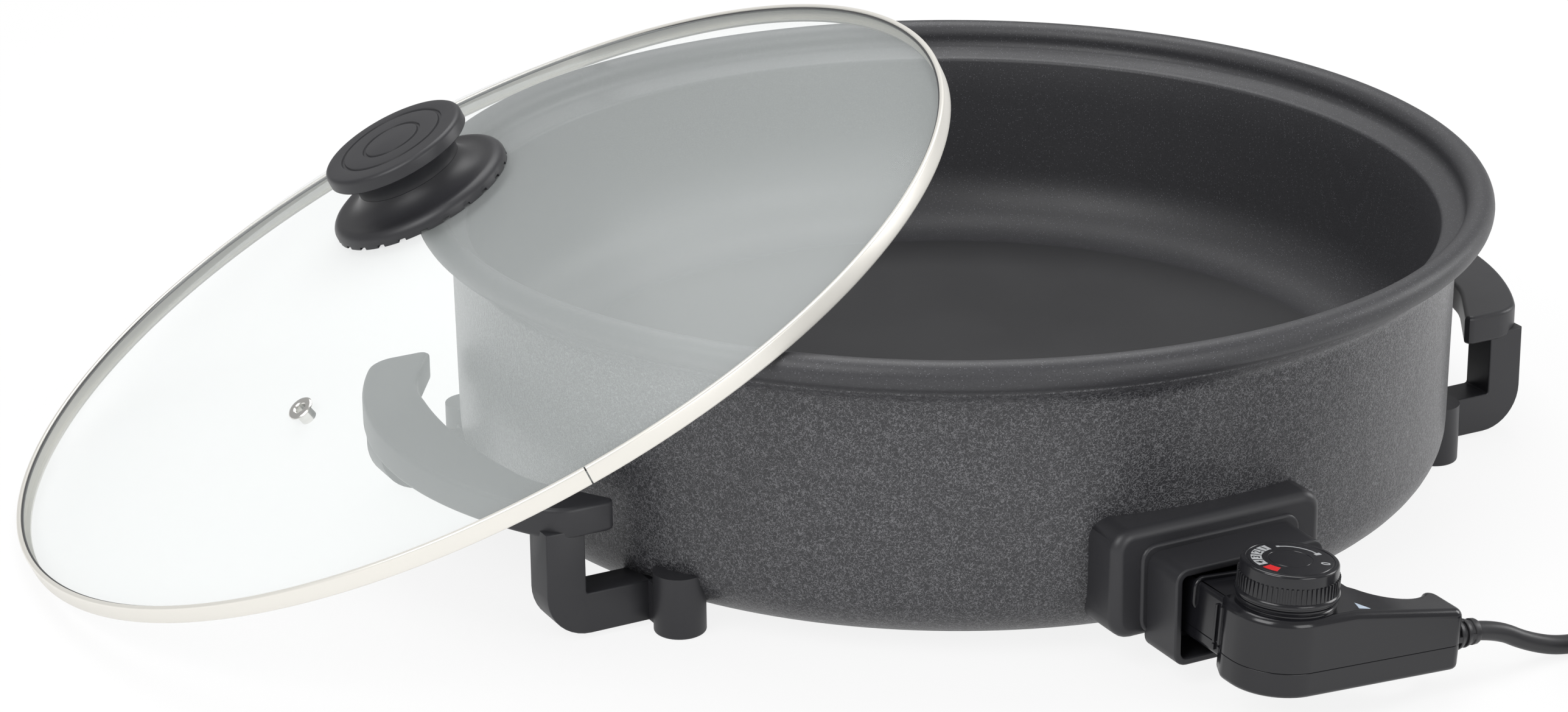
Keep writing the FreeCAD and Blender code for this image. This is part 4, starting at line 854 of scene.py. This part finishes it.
def shell_skin(s, grow):
    """Profile of the shell from its top to its opening, grown outwards by grow."""
    under = s.ledge_height - s.rim_drop
    inner = s.shell_foot_radius - s.shell_corner_width
    high = s.shell_bottom + s.shell_corner_height
    side, foot = s.shell_radius + grow, s.shell_foot_radius + grow
    lip = 0.0014
    flare_end = under - s.shell_flare_height
    skin = [(side + s.shell_flare, under), (side + s.shell_flare - 0.0002, under - lip)]
    flare_steps, corner_steps = 7, 14
    for k in range(1, flare_steps + 1):
        t = k / flare_steps
        skin.append((side + s.shell_flare * (1 - t) ** 2.2, under - lip - (s.shell_flare_height - lip) * t))
    skin += [(side + (foot - side) * k / 3, flare_end + (high - flare_end) * k / 3) for k in (1, 2)]
    for k in range(corner_steps + 1):
        a = math.pi / 2 * k / corner_steps
        skin.append((inner + (s.shell_corner_width + grow) * math.cos(a),
                     high - (s.shell_corner_height + grow) * math.sin(a)))
    return skin + [(s.shell_opening, s.shell_bottom - grow)]


class SKILLET_OT_outer_shell(PieceOperator, Operator):
    """Hammered shell round the pan, with its turned-out top and round lower corner"""

    bl_idname = "skillet.outer_shell"
    bl_label = "Shell"

    def build(self, s):
        profile = shell_skin(s, 0.0) + shell_skin(s, -s.shell_wall)[::-1]
        profile.append(profile[0])
        dress(turned("shell", profile, closed=True, degrees=40.0), "hammered_enamel", "pan", "outer_shell")


class SKILLET_OT_brackets(PieceOperator, Operator):
    """Crescent grips on posts, beams and feet, one at each side"""

    bl_idname = "skillet.brackets"
    bl_label = "Brackets"

    def build(self, s):
        centre = s.grip_reach - s.grip_outer_radius
        half = s.grip_half_length
        corner = s.grip_corner
        corner_y = half - corner
        corner_x = centre + math.sqrt((s.grip_outer_radius - corner) ** 2 - corner_y ** 2)
        meet = math.degrees(math.atan2(corner_y, corner_x - centre))
        outer = arc(centre, 0, s.grip_outer_radius, -meet, meet, 30)
        outer += arc(corner_x, corner_y, corner, meet, 90, 8)[1:]
        end = [(s.grip_end + 0.003, half), (s.grip_end + 0.0009, half - 0.0009), (s.grip_end, half - 0.003)]
        waist = three_point_arc((s.grip_shoulder, s.grip_shoulder_side), (s.grip_waist, 0),
                                (s.grip_shoulder, -s.grip_shoulder_side), 20)
        shoulder = three_point_arc((s.grip_shoulder - 0.0058, s.grip_shoulder_side + 0.0088),
                                   (s.grip_shoulder - 0.0006, s.grip_shoulder_side - 0.0005),
                                   waist[3], 6)[:-1]
        outline = outer + end + shoulder + waist[3:-3] + mirrored(shoulder) + mirrored(end)
        outline += mirrored(arc(corner_x, corner_y, corner, meet, 90, 8)[1:])
        low = s.grip_top - s.grip_thickness
        parts = [rounded_plate("grip", outline, low, s.grip_top, 0.0018, 0.0018)]
        top = low + 0.003
        post_inner = s.post_reach - s.post_width
        beam_top = s.beam_bottom + s.beam_height
        leg = [(post_inner, top), (s.post_reach, top)]
        leg += arc(s.post_reach - s.post_corner, s.beam_bottom + s.post_corner, s.post_corner, 0, -90, 10)
        leg += [(s.beam_inner, s.beam_bottom), (s.beam_inner, beam_top), (post_inner - 0.001, beam_top),
                (post_inner - 0.0003, beam_top + 0.0003), (post_inner, beam_top + 0.001)]
        for side in (-1, 1):
            near, far = sorted((-side * s.post_side, -side * (s.post_side - s.post_depth)))
            part = rounded_plate("leg", leg, near, far, 0.0007, 0.0007, 3)
            parts.append(lay(part, upright))
            edge = 0.001
            foot_top = beam_top + 0.006
            foot = turned("foot", [(0, 0), (s.foot_radius - edge, 0)]
                          + arc(s.foot_radius - edge, edge, edge, -90, 0, 4)
                          + [(s.foot_radius, foot_top), (0, foot_top)], steps=48)
            parts.append(lay(foot, Matrix.Translation((s.foot_reach, side * s.foot_side, 0))))
            y0, y1 = sorted((side * (s.post_side - 0.006), side * s.foot_side))
            half_web = s.foot_radius - 0.0015
            parts.append(bar("web", (s.foot_reach - half_web, y0, s.beam_bottom),
                             (s.foot_reach + half_web, y1, beam_top), 0.0006))
        right = join("bracket_right", *parts)
        drop_selection()
        take(right)
        bpy.ops.object.duplicate()
        left = bpy.context.active_object
        left.name = "bracket_left"
        lay(left, Matrix.Scale(-1, 4, (1, 0, 0)))
        bpy.ops.object.mode_set(mode="EDIT")
        face_outwards()
        bpy.ops.object.mode_set(mode="OBJECT")
        dress(right, "phenolic", "pan", "right_bracket")
        dress(left, "phenolic", "pan", "left_bracket")


class SKILLET_OT_socket(PieceOperator, Operator):
    """Flange and mouth that take the thermostat"""

    bl_idname = "skillet.socket"
    bl_label = "Socket"

    def build(self, s):
        c = s.socket_centre
        half = s.flange_width / 2
        outline = rectangle(c - half, c + half, s.flange_bottom, s.flange_bottom + s.flange_height, 0.008)
        flange = rounded_plate("flange", outline, 0.180, s.flange_face, 0.0, 0.004, 6)
        inside = turned("inside", [(0, s.ledge_height)] + shell_skin(s, -0.0003) + [(0, s.shell_bottom)])
        flange = smooth(cut(lay(flange, upright), inside), weighted=True)
        half_mouth = s.frame_width / 2
        step = rectangle(c - half_mouth - 0.0025, c + half_mouth + 0.0025, s.frame_bottom + 0.0055,
                         s.frame_bottom + s.frame_height + 0.0025, 0.006)
        plinth = rounded_plate("plinth", step, s.flange_face - 0.001, s.flange_face + 0.0014, 0.0, 0.0012, 3)
        flange = join("socket_flange", lay(plinth, upright), flange)
        dress(flange, "phenolic", "pan", "socket_flange")
        mouth_top = s.frame_bottom + s.frame_height
        outline = rectangle(c - half_mouth, c + half_mouth, s.frame_bottom, mouth_top, 0.005)
        mouth = plate("mouth", outline, s.flange_face + 0.0001, s.frame_face)
        choose(mouth, "FACE", lambda f: f.normal.z > 0.9)
        bpy.ops.mesh.inset(thickness=s.frame_wall)
        bpy.ops.mesh.extrude_region_move(TRANSFORM_OT_translate={"value": (0, 0, -0.0165)})
        round_rim(mouth, s.frame_face, 0.0008, 3)
        bpy.ops.object.mode_set(mode="OBJECT")
        smooth(mouth, weighted=True)
        mouth.name = "socket_mouth"
        dress(lay(mouth, upright), "phenolic", "pan", "socket_frame")


class SKILLET_OT_lid(PieceOperator, Operator):
    """Domed glass, its stainless band with the joint, and a near-black ring of painted shade under the lip"""

    bl_idname = "skillet.lid"
    bl_label = "Lid glass and band"

    def build(self, s):
        place = leaning(s)
        _, _, edge = dome(s)
        steps = 26
        outside = [(edge * k / steps, dome_height(s, edge * k / steps)) for k in range(steps + 1)]
        inside = [(edge * k / steps, dome_height(s, edge * k / steps, True)) for k in range(steps, -1, -1)]
        glass = turned("lid_glass_dome", outside + inside, degrees=60.0)
        dress(lay(glass, place), "lid_glass", "lid", "lid_glass")
        r = s.band_radius
        lip_low = dome_height(s, r - s.lip_width) + s.seat_gap
        lip_high = lip_low + s.lip_thickness
        profile = [(r - s.band_foot, 0), (r - 0.0008, 0)]
        profile += arc(r - 0.0008, 0.0008, 0.0008, -90, 0, 4)
        shoulder = 0.0009
        profile += [(r, lip_high * 0.35), (r, lip_high - shoulder)]
        profile += arc(r - shoulder, lip_high - shoulder, shoulder, 0, 90, 5)
        profile += [(r - s.lip_width + 0.0005, lip_high)]
        half_lip = s.lip_thickness / 2
        profile += arc(r - s.lip_width + 0.0005, lip_low + half_lip, half_lip, 90, 270, 6)
        profile += [(r - s.band_sheet, lip_low), (r - s.band_sheet, s.band_sheet),
                    (r - s.band_foot, s.band_sheet), (r - s.band_foot, 0)]
        band = turned("lid_band_ring", profile, steps=256, closed=True, degrees=40.0)
        slit = bar("slit", (r - 0.006, -0.0003, -0.002), (r + 0.002, 0.0003, lip_high + 0.002), 0.00005)
        lay(slit, Matrix.Rotation(math.radians(-87.5), 4, "Z"))
        cut(band, slit)
        smooth(band, 40.0)
        dress(lay(band, place), "band_steel", "lid", "lid_band")
        # The near-black ring under the lip is painted shade: it stands for the shaded gap between the band's
        # lip and the glass.
        q = r - s.lip_width - 0.0003
        gap_shade = turned("lid_gap_shade", [(q + 0.0012, lip_low - 0.0006), (q + 0.0012, lip_low + 0.0004),
                                   (q, lip_low + 0.00045), (q - 0.0005, lip_low + 0.0002),
                                   (q - 0.0005, lip_low - 0.0004), (q + 0.0012, lip_low - 0.0006)],
                      steps=256, closed=True)
        dress(lay(gap_shade, place), "silicone", "lid")


class SKILLET_OT_knob(PieceOperator, Operator):
    """Notched skirt on the glass and the waisted knob with its ringed top"""

    bl_idname = "skillet.knob"
    bl_label = "Knob"

    def build(self, s):
        place = leaning(s)
        r = s.skirt_radius
        foot = dome_height(s, r) + s.seat_gap
        top = foot + s.skirt_height
        base = s.glass_apex + s.seat_gap
        profile = [(s.core_radius, base), (r - 0.0055, base),
                   (r - 0.0045, dome_height(s, r - 0.0045) + s.seat_gap), (r, foot)]
        rim, brim = (r, foot + 0.0024), (r - 0.0042, foot + 0.0056)
        profile += three_point_arc(rim, (r - 0.0012, foot + 0.0046), brim, 6)
        profile += three_point_arc(brim, (r - 0.012, foot + 0.0076), (s.neck_radius, top), 8)[1:]
        profile += [(s.core_radius, top)]
        skirt = turned("knob_foot", profile, steps=144)
        notch = bar("notch", (r - 0.002, -0.0015, foot - 0.001), (r + 0.001, 0.0015, foot + 0.0011), 0.0001)
        lay(notch, Matrix.Rotation(math.radians(7.5), 4, "Z"))
        round_about(notch, 24)
        cut(skirt, notch)
        smooth(skirt)
        dress(lay(skirt, place), "phenolic", "lid", "knob_skirt")
        base = top + s.seat_gap
        r = s.knob_radius
        high = s.knob_height
        under = high - 0.0056
        waist = (s.neck_radius + 0.0016, base + 0.6 * (under - base))
        profile = [(s.core_radius, base)]
        profile += three_point_arc((s.neck_radius, base), waist, (r - 0.0004, under - 0.0004), 10)
        profile += [(r, under)]
        side, crown = (r, high - 0.0022), (r - 0.0022, high - 0.0004)
        profile += three_point_arc(side, (r - 0.0006, high - 0.0009), crown, 5)
        profile += [(r - 0.007, high)]
        for outer in (0.0076, 0.0166):
            profile += [(r - outer + 0.0003, high - 0.0001), (r - outer, high - 0.0007),
                        (r - outer - 0.0009, high - 0.0007), (r - outer - 0.0012, high - 0.0001),
                        (r - outer - 0.0016, high)]
        profile += [(0, high)]
        knob = turned("knob_head", profile, steps=144)
        dress(lay(knob, place), "phenolic", "lid", "knob_top")


class SKILLET_OT_vent(PieceOperator, Operator):
    """Rolled eyelet in the glass"""

    bl_idname = "skillet.vent"
    bl_label = "Vent"

    def build(self, s):
        sphere, centre, _ = dome(s)
        rise = math.sqrt(sphere ** 2 - s.vent_uphill ** 2 - s.vent_side ** 2)
        up = Vector((s.vent_uphill, s.vent_side, rise))
        turn = Vector((0, 0, 1)).rotation_difference(up.normalized()).to_matrix().to_4x4()
        high = sphere + 0.00011
        r = s.vent_flange
        profile = [(s.vent_hole, high - 0.0052), (0.0031, high - 0.0052), (0.0031, high), (r, high),
                   (r, high + 0.0003), (r - 0.0003, high + 0.0006), (r - 0.0010, high + 0.0008),
                   (s.vent_hole + 0.0009, high + 0.0009), (s.vent_hole + 0.0003, high + 0.0006),
                   (s.vent_hole, high + 0.0002), (s.vent_hole, high - 0.0052)]
        eyelet = turned("vent_ring", profile, steps=64, closed=True)
        place = leaning(s) @ Matrix.Translation((0, 0, centre)) @ turn
        dress(lay(eyelet, place), "nickel", "lid", "vent_eyelet")


def case_outline(s):
    """Plan of the thermostat's case without its nose."""
    left = s.socket_centre - s.nose_half_width - s.case_step
    right = s.socket_centre + s.nose_half_width
    front, end = -s.case_front, s.case_end
    points = arc(left + s.case_corner, front + s.case_corner, s.case_corner, 180, 270, 14)
    points += filleted([(left, front, 0), (end, -s.case_front_end, 0.004), (end, -s.case_back_end, 0.004),
                        (0.030, -0.2615, 0)], 5)[1:-1]
    hollow = (0.031, -0.2608)
    points += three_point_arc(points[-1], hollow, (right + 0.002, -s.case_shoulder - 0.0018), 14)[1:]
    points += [(right + 0.0004, -s.case_shoulder), (right, -s.case_shoulder + 0.002),
               (right, -s.case_shoulder + 0.006), (left + s.case_step, -s.case_shoulder + 0.006),
               (left + 0.0012, -s.case_shoulder + 0.0012), (left + 0.0002, -s.case_shoulder - 0.001),
               (left, -s.case_shoulder - 0.003)]
    return points


class SKILLET_OT_thermostat_case(PieceOperator, Operator):
    """Two halves of the case with the nose, its ribs, collar and pointer"""

    bl_idname = "skillet.thermostat_case"
    bl_label = "Thermostat case"

    def build(self, s):
        place = drooping(s)
        above, below = s.case_parting + s.parting_gap, s.case_parting - s.parting_gap
        outline = case_outline(s)
        c, half = s.socket_centre, s.nose_half_width
        nose = rectangle(c - half, c + half, -s.case_shoulder - 0.004, -s.nose_end, 0.0006, 3)
        upper = plate("upper", outline, above, s.case_top)
        bpy.ops.mesh.select_all(action="SELECT")
        fall = Vector((s.case_end_top - s.case_top, 0, -(s.case_end - 0.002))).normalized()
        bpy.ops.mesh.bisect(plane_co=(0.002, 0, s.case_top), plane_no=-fall, clear_outer=True, use_fill=True)
        face_outwards()

        def upper_rim(edge):
            return (min(v.co.z for v in edge.verts) > s.case_end_top - 0.003
                    and any(f.normal.z > 0.9 for f in edge.link_faces)
                    and any(abs(f.normal.z) < 0.5 for f in edge.link_faces))

        choose(upper, "EDGE", upper_rim)
        bpy.ops.mesh.bevel(offset=s.case_edge, segments=6, profile=0.5, affect="EDGES")
        round_rim(upper, above, 0.00022, 2)
        bpy.ops.object.mode_set(mode="OBJECT")
        smooth(upper, weighted=True)
        lower = rounded_plate("lower", outline, s.case_bottom, below, 0.002, 0.00022)
        upper_nose = rounded_plate("upper_nose", nose, above, s.nose_top, 0.00022, 0.002)
        lower_nose = rounded_plate("lower_nose", nose, s.nose_bottom, below, 0.002, 0.00022)
        left = c - half
        depth, width, pitch, edge = 0.001, 0.0014, 0.0032, 0.0003
        ribs_above, ribs_below = [], []
        for k in range(3):
            y = -s.case_shoulder + depth + k * pitch
            for ribs, low, high in ((ribs_above, s.case_parting + edge, s.nose_top - 0.003),
                                    (ribs_below, s.nose_bottom + 0.0024, s.case_parting - edge)):
                ribs.append(bar("rib", (left - depth, y, low), (left + depth, y + width, high), edge))
        out = 0.0012
        hoop = rectangle(c - half - out, c + half + out, s.case_parting + 0.006, s.nose_top + 0.0014, 0.004)
        collar = lay(rounded_plate("collar", hoop, 0.2262, 0.2284, 0.0008, 0.0008, 3), upright)
        top = join("case_upper", collar, *ribs_above, upper_nose, upper)
        bottom = join("case_lower", *ribs_below, lower_nose, lower)
        dress(lay(top, place), "plug_plastic", "thermostat", "plug_upper_shell")
        dress(lay(bottom, place), "plug_plastic", "thermostat", "plug_lower_shell")
        spot = Vector((0.0075, -0.2697))
        mark = [(spot.x - 0.0005, spot.y + 0.0030), (spot.x + 0.0024, spot.y - 0.0026),
                (spot.x - 0.0022, spot.y - 0.0022)]
        slope = (s.case_top - s.case_end_top) / (s.case_end - 0.002)
        arrow = rounded_plate("pointer", mark, 0, 0.00016, 0.0, 0.00004, 1)
        lift = Matrix.Translation((0.002, 0, s.case_top)) @ Matrix.Rotation(math.atan(slope), 4, "Y")
        lay(arrow, place @ lift @ Matrix.Translation((-0.002, 0, -0.00002)))
        dress(arrow, "plug_plastic", "thermostat", finish="pointer")


class SKILLET_OT_dial(PieceOperator, Operator):
    """Ribbed dial on its collar, with plain numbers and marks"""

    bl_idname = "skillet.dial"
    bl_label = "Dial"

    def build(self, s):
        place = drooping(s) @ Matrix.Translation((s.dial_at, -s.dial_side, 0))
        base = s.case_top + 0.00005
        r = s.collar_radius
        profile = [(s.core_radius, base), (r, base), (r, base + 0.0005), (r - 0.0004, base + 0.0007),
                   (r - 0.0006, base + 0.0010), (r - 0.0004, base + 0.0013), (r, base + 0.0015),
                   (r - 0.0001, base + s.collar_height - 0.0002), (r - 0.0004, base + s.collar_height),
                   (s.core_radius, base + s.collar_height)]
        collar = turned("dial_ring", profile, steps=128)
        dress(lay(collar, place), "plug_plastic", "thermostat", "dial_collar")
        z = base + s.collar_height + 0.0003
        top = z + s.dial_height
        rb, rt = s.dial_base_radius, s.dial_top_radius
        edge = 0.0009
        profile = [(s.core_radius, z), (rb - 0.0007, z), (rb - 0.0007, z + 0.0006), (rb - 0.0002, z + 0.0007),
                   (rb, z + 0.0010), (rb, z + 0.0019), (rb - 0.0002, z + 0.0022), (rb - 0.0006, z + 0.0026),
                   (rt + (rb - 0.0006 - rt) * 0.35, z + 0.0080)]
        profile += arc(rt - edge, top - edge, edge, 4, 90, 6)
        profile += [(rt - 0.0016, top), (rt - 0.0018, top - 0.00018), (rt - 0.0022, top - 0.00018),
                    (rt - 0.0024, top), (rt * 0.46, top), (rt * 0.455, top - 0.00012),
                    (rt * 0.435, top - 0.00012), (rt * 0.43, top), (0, top)]
        body = turned("dial_body", profile, steps=180)
        tooth = bar("tooth", (rt - 0.001, -0.00045, z + 0.0026), (rb - 0.00042, 0.00045, z + 0.0082), 0.00018)
        round_about(tooth, s.dial_ribs)
        smooth(tooth)
        dial = join("dial_knob", tooth, body)
        dress(lay(dial, place), "plug_plastic", "dial", "dial")

        view = math.radians(-27.6)
        thick = 0.00008

        def sector(name, inner, outer, middle, spread):
            start, turn = view + math.radians(middle - spread), math.radians(2 * spread)
            ring = sweep(0, 0, outer, start, turn, 6) + sweep(0, 0, inner, start + turn, -turn, 6)
            return rounded_plate(name, ring, top - 0.00001, top + thick, 0.0, 0.00002, 1)

        boxes, digits = [], []
        for k, where in enumerate((134, 157, 180, 203)):
            boxes.append(sector("box", rt * 0.58, rt * 0.80, where, 9.5))
            digits.append(self.word(str(k + 1), rt * 0.69, view + math.radians(where), top + thick, 0.0040))
        red = sector("hot_box", rt * 0.58, rt * 0.80, 232, 12.0)
        line = sector("sweep", rt * 0.655, rt * 0.685, 68, 36)
        head = sector("sweep_end", rt * 0.60, rt * 0.74, 29, 4.0)
        start = sector("sweep_start", rt * 0.64, rt * 0.70, 106, 3.0)
        zero = self.word("0", rt * 0.70, view + math.radians(-14), top, 0.0046)
        marks = join("dial_marks", line, head, start, zero, *boxes)
        dress(lay(marks, place), "plug_plastic", "dial", finish="mark")
        dress(lay(red, place), "plug_plastic", "dial", finish="hot")
        dress(lay(join("dial_digits", *digits), place), "plug_plastic", "dial", finish="digits")

    @staticmethod
    def word(text, radius, heading, height, size):
        """A numeral standing outwards on the dial's top."""
        drop_selection()
        bpy.ops.object.text_add(location=(0, 0, 0))
        piece = bpy.context.active_object
        piece.data.body = text
        piece.data.size = size
        piece.data.align_x = "CENTER"
        piece.data.align_y = "CENTER"
        piece.data.extrude = 0.00004
        piece.data.offset = 0.00005
        bpy.ops.object.convert(target="MESH")
        piece = bpy.context.active_object
        turn = Matrix.Rotation(heading - math.pi / 2, 4, "Z")
        spot = Matrix.Translation((radius * math.cos(heading), radius * math.sin(heading), height + 0.00002))
        return lay(piece, spot @ turn)


class SKILLET_OT_lead(PieceOperator, Operator):
    """Strain relief, lead with its coil, and the mains plug"""

    bl_idname = "skillet.lead"
    bl_label = "Lead"

    def build(self, s):
        droop = drooping(s)
        out = Matrix.Rotation(math.pi / 2, 4, "Y")
        r, tip, end = s.relief_radius, s.relief_tip, s.relief_length
        lead = s.lead_diameter / 2
        root = 0.004
        profile = [(lead, -root), (r - 0.0015, -root), (r - 0.0015, 0.0002), (r - 0.0003, 0.0003),
                   (r, 0.0008)]
        pitch = 0.0034
        for k in range(3):
            z = 0.0022 + k * pitch
            here = r + (tip - r) * z / end
            profile += [(here, z), (here - 0.0002, z + 0.0003), (lead + 0.0009, z + 0.0004),
                        (lead + 0.0009, z + 0.0016), (here - 0.0003, z + 0.0017), (here - 0.0001, z + 0.0020)]
        profile += [(tip + 0.0004, end - 0.0008), (tip + 0.0001, end - 0.0002), (tip - 0.0003, end),
                    (lead, end)]
        relief = turned("relief", profile, steps=64)
        ties = [relief]
        for k in range(3):
            z = 0.0022 + k * pitch
            here = r + (tip - r) * z / end - 0.0002
            for side in (-1, 1):
                y0, y1 = sorted((side * (lead + 0.0004), side * here))
                tie = bar("tie", (-0.0011, y0, z + 0.0001), (0.0011, y1, z + 0.0019), 0.0002)
                ties.insert(0, lay(tie, Matrix.Rotation(math.pi / 2 * (k % 2), 4, "Z")))
        relief = join("strain_relief_sleeve", *ties)
        seat = Matrix.Translation((s.case_end, -s.relief_side, s.relief_height))
        dress(lay(relief, droop @ seat @ out), "lead_rubber", "thermostat", "strain_relief")

        first = droop @ Vector((s.case_end + s.relief_length, -s.relief_side, s.relief_height))
        height = lead + 0.0001
        points = [first, Vector((0.0725, -0.2643, 0.0150)), Vector((0.0840, -0.2656, 0.0084)),
                  Vector((0.0990, -0.2672, 0.0036)), Vector((0.1170, -0.2680, 0.0036))]
        turns, climb = 2.25, 0.5
        whole = 2 * turns + climb
        a_turn = 16
        for k in range(int(whole * a_turn) + 1):
            done = k / a_turn
            radius = s.coil_radius - s.coil_pitch * min(done, whole - done)
            share = min(max((done - turns) / climb, 0.0), 1.0)
            rise = share * share * (3 - 2 * share) * s.coil_pitch
            a = math.pi / 2 - 2 * math.pi * done
            centre = Vector((s.coil_x, s.coil_y, height + rise))
            points.append(centre + radius * Vector((math.cos(a), math.sin(a), 0)))
        points[5].x -= s.lead_diameter * 0.4
        last = points[-1]
        plug_height = s.mains_radius + 0.0001
        joint = Vector((last.x + s.tail_length + s.lead_diameter, last.y, plug_height))
        points += [Vector((last.x + s.tail_length * 0.35, last.y, last.z + 0.0004)),
                   Vector((last.x + s.tail_length * 0.75, last.y, plug_height - 0.0006)),
                   Vector((joint.x - 0.004, joint.y, joint.z)), joint]
        curve = bpy.data.curves.new("lead", "CURVE")
        curve.dimensions = "3D"
        spline = curve.splines.new("NURBS")
        spline.points.add(len(points) - 1)
        for point, place in zip(spline.points, points):
            point.co = (*place, 1.0)
        spline.order_u = 3
        spline.use_endpoint_u = True
        spline.resolution_u = 8
        curve.bevel_depth = lead
        curve.bevel_resolution = 6
        cable = bpy.data.objects.new("lead", curve)
        bpy.context.scene.collection.objects.link(cable)
        dress(cable, "lead_rubber", "thermostat", "cord_run", "cord_coil")

        r = s.mains_radius
        grip, face = 0.044, 0.058
        groove = 0.0012
        neck, neck_end, neck_length = lead + groove, 0.008, 0.020
        profile = [(lead + 0.0002, 0), (neck, 0.0002)]
        for k in range(5):
            z = 0.002 + k * 0.0036
            wide = neck + (neck_end - neck) * z / neck_length
            profile += [(wide, z), (wide - groove, z + 0.0003), (wide - groove, z + 0.0015),
                        (wide, z + 0.0018)]
        profile += [(neck_end, neck_length), (0.0105, 0.0215), (0.011, 0.023)]
        profile += three_point_arc((0.011, 0.023), (0.0116, 0.0344), (r - 0.002, grip), 10)[1:]
        profile += [(r - 0.0005, grip + 0.0007), (r, grip + 0.002), (r, face - 0.001),
                    (r - 0.0004, face - 0.0004), (r - 0.001, face), (0, face)]
        body = turned("mains_plug", profile, steps=96)
        rib = bar("rib", (r - 0.0006, -0.0007, grip + 0.0025), (r - 0.00002, 0.0007, face - 0.002), 0.0002)
        round_about(rib, 30)
        body = join("mains_plug", rib, body)
        dress(lay(body, Matrix.Translation(joint) @ out), "lead_rubber", "thermostat", "mains_plug_body")


class SKILLET_OT_small_parts(PieceOperator, Operator):
    """Finishes for the parts that keep their CAD shape"""

    bl_idname = "skillet.small_parts"
    bl_label = "Small parts"

    def build(self, s):
        slots = {row["node"]: row["material_slot"] for row in frame["record"]["subparts"]}
        for name, node in frame["nodes"].items():
            node.data.materials.clear()
            node.data.materials.append(finishes[slots[name]])


class SKILLET_PT_panel(Panel):
    """Lists the skillet's pieces, sizes and colours"""

    bl_idname = "SKILLET_PT_panel"
    bl_label = "Electric skillet"
    bl_space_type = "VIEW_3D"
    bl_region_type = "UI"
    bl_category = "Skillet"

    def draw(self, context):
        column = self.layout.column(align=True)
        for piece in piece_operators:
            column.operator(piece.bl_idname)
        for group in (context.scene.skillet_sizes, context.scene.skillet_colours):
            box = self.layout.box()
            for key in group.__annotations__:
                box.prop(group, key)


piece_operators = (
    SKILLET_OT_stage,
    SKILLET_OT_small_parts,
    SKILLET_OT_lead,
    SKILLET_OT_inner_pan,
    SKILLET_OT_outer_shell,
    SKILLET_OT_brackets,
    SKILLET_OT_socket,
    SKILLET_OT_lid,
    SKILLET_OT_knob,
    SKILLET_OT_vent,
    SKILLET_OT_thermostat_case,
    SKILLET_OT_dial,
)
classes = (SkilletSizes, SkilletColours, *piece_operators, SKILLET_PT_panel)


def register():
    for kind in classes:
        bpy.utils.register_class(kind)
    bpy.types.Scene.skillet_sizes = PointerProperty(type=SkilletSizes)
    bpy.types.Scene.skillet_colours = PointerProperty(type=SkilletColours)


def unregister():
    del bpy.types.Scene.skillet_colours
    del bpy.types.Scene.skillet_sizes
    for kind in reversed(classes):
        bpy.utils.unregister_class(kind)


def main():
    register()
    scene = bpy.context.scene
    finishes.update(make_finishes(scene.skillet_colours, scene.skillet_sizes))
    bpy.ops.skillet.stage()
    bpy.ops.skillet.small_parts()
    bpy.ops.skillet.lead()
    bpy.ops.skillet.inner_pan()
    bpy.ops.skillet.outer_shell()
    bpy.ops.skillet.brackets()
    bpy.ops.skillet.socket()
    bpy.ops.skillet.lid()
    bpy.ops.skillet.knob()
    bpy.ops.skillet.vent()
    bpy.ops.skillet.thermostat_case()
    bpy.ops.skillet.dial()
    drop_selection()


if __name__ == "__main__":
    main()
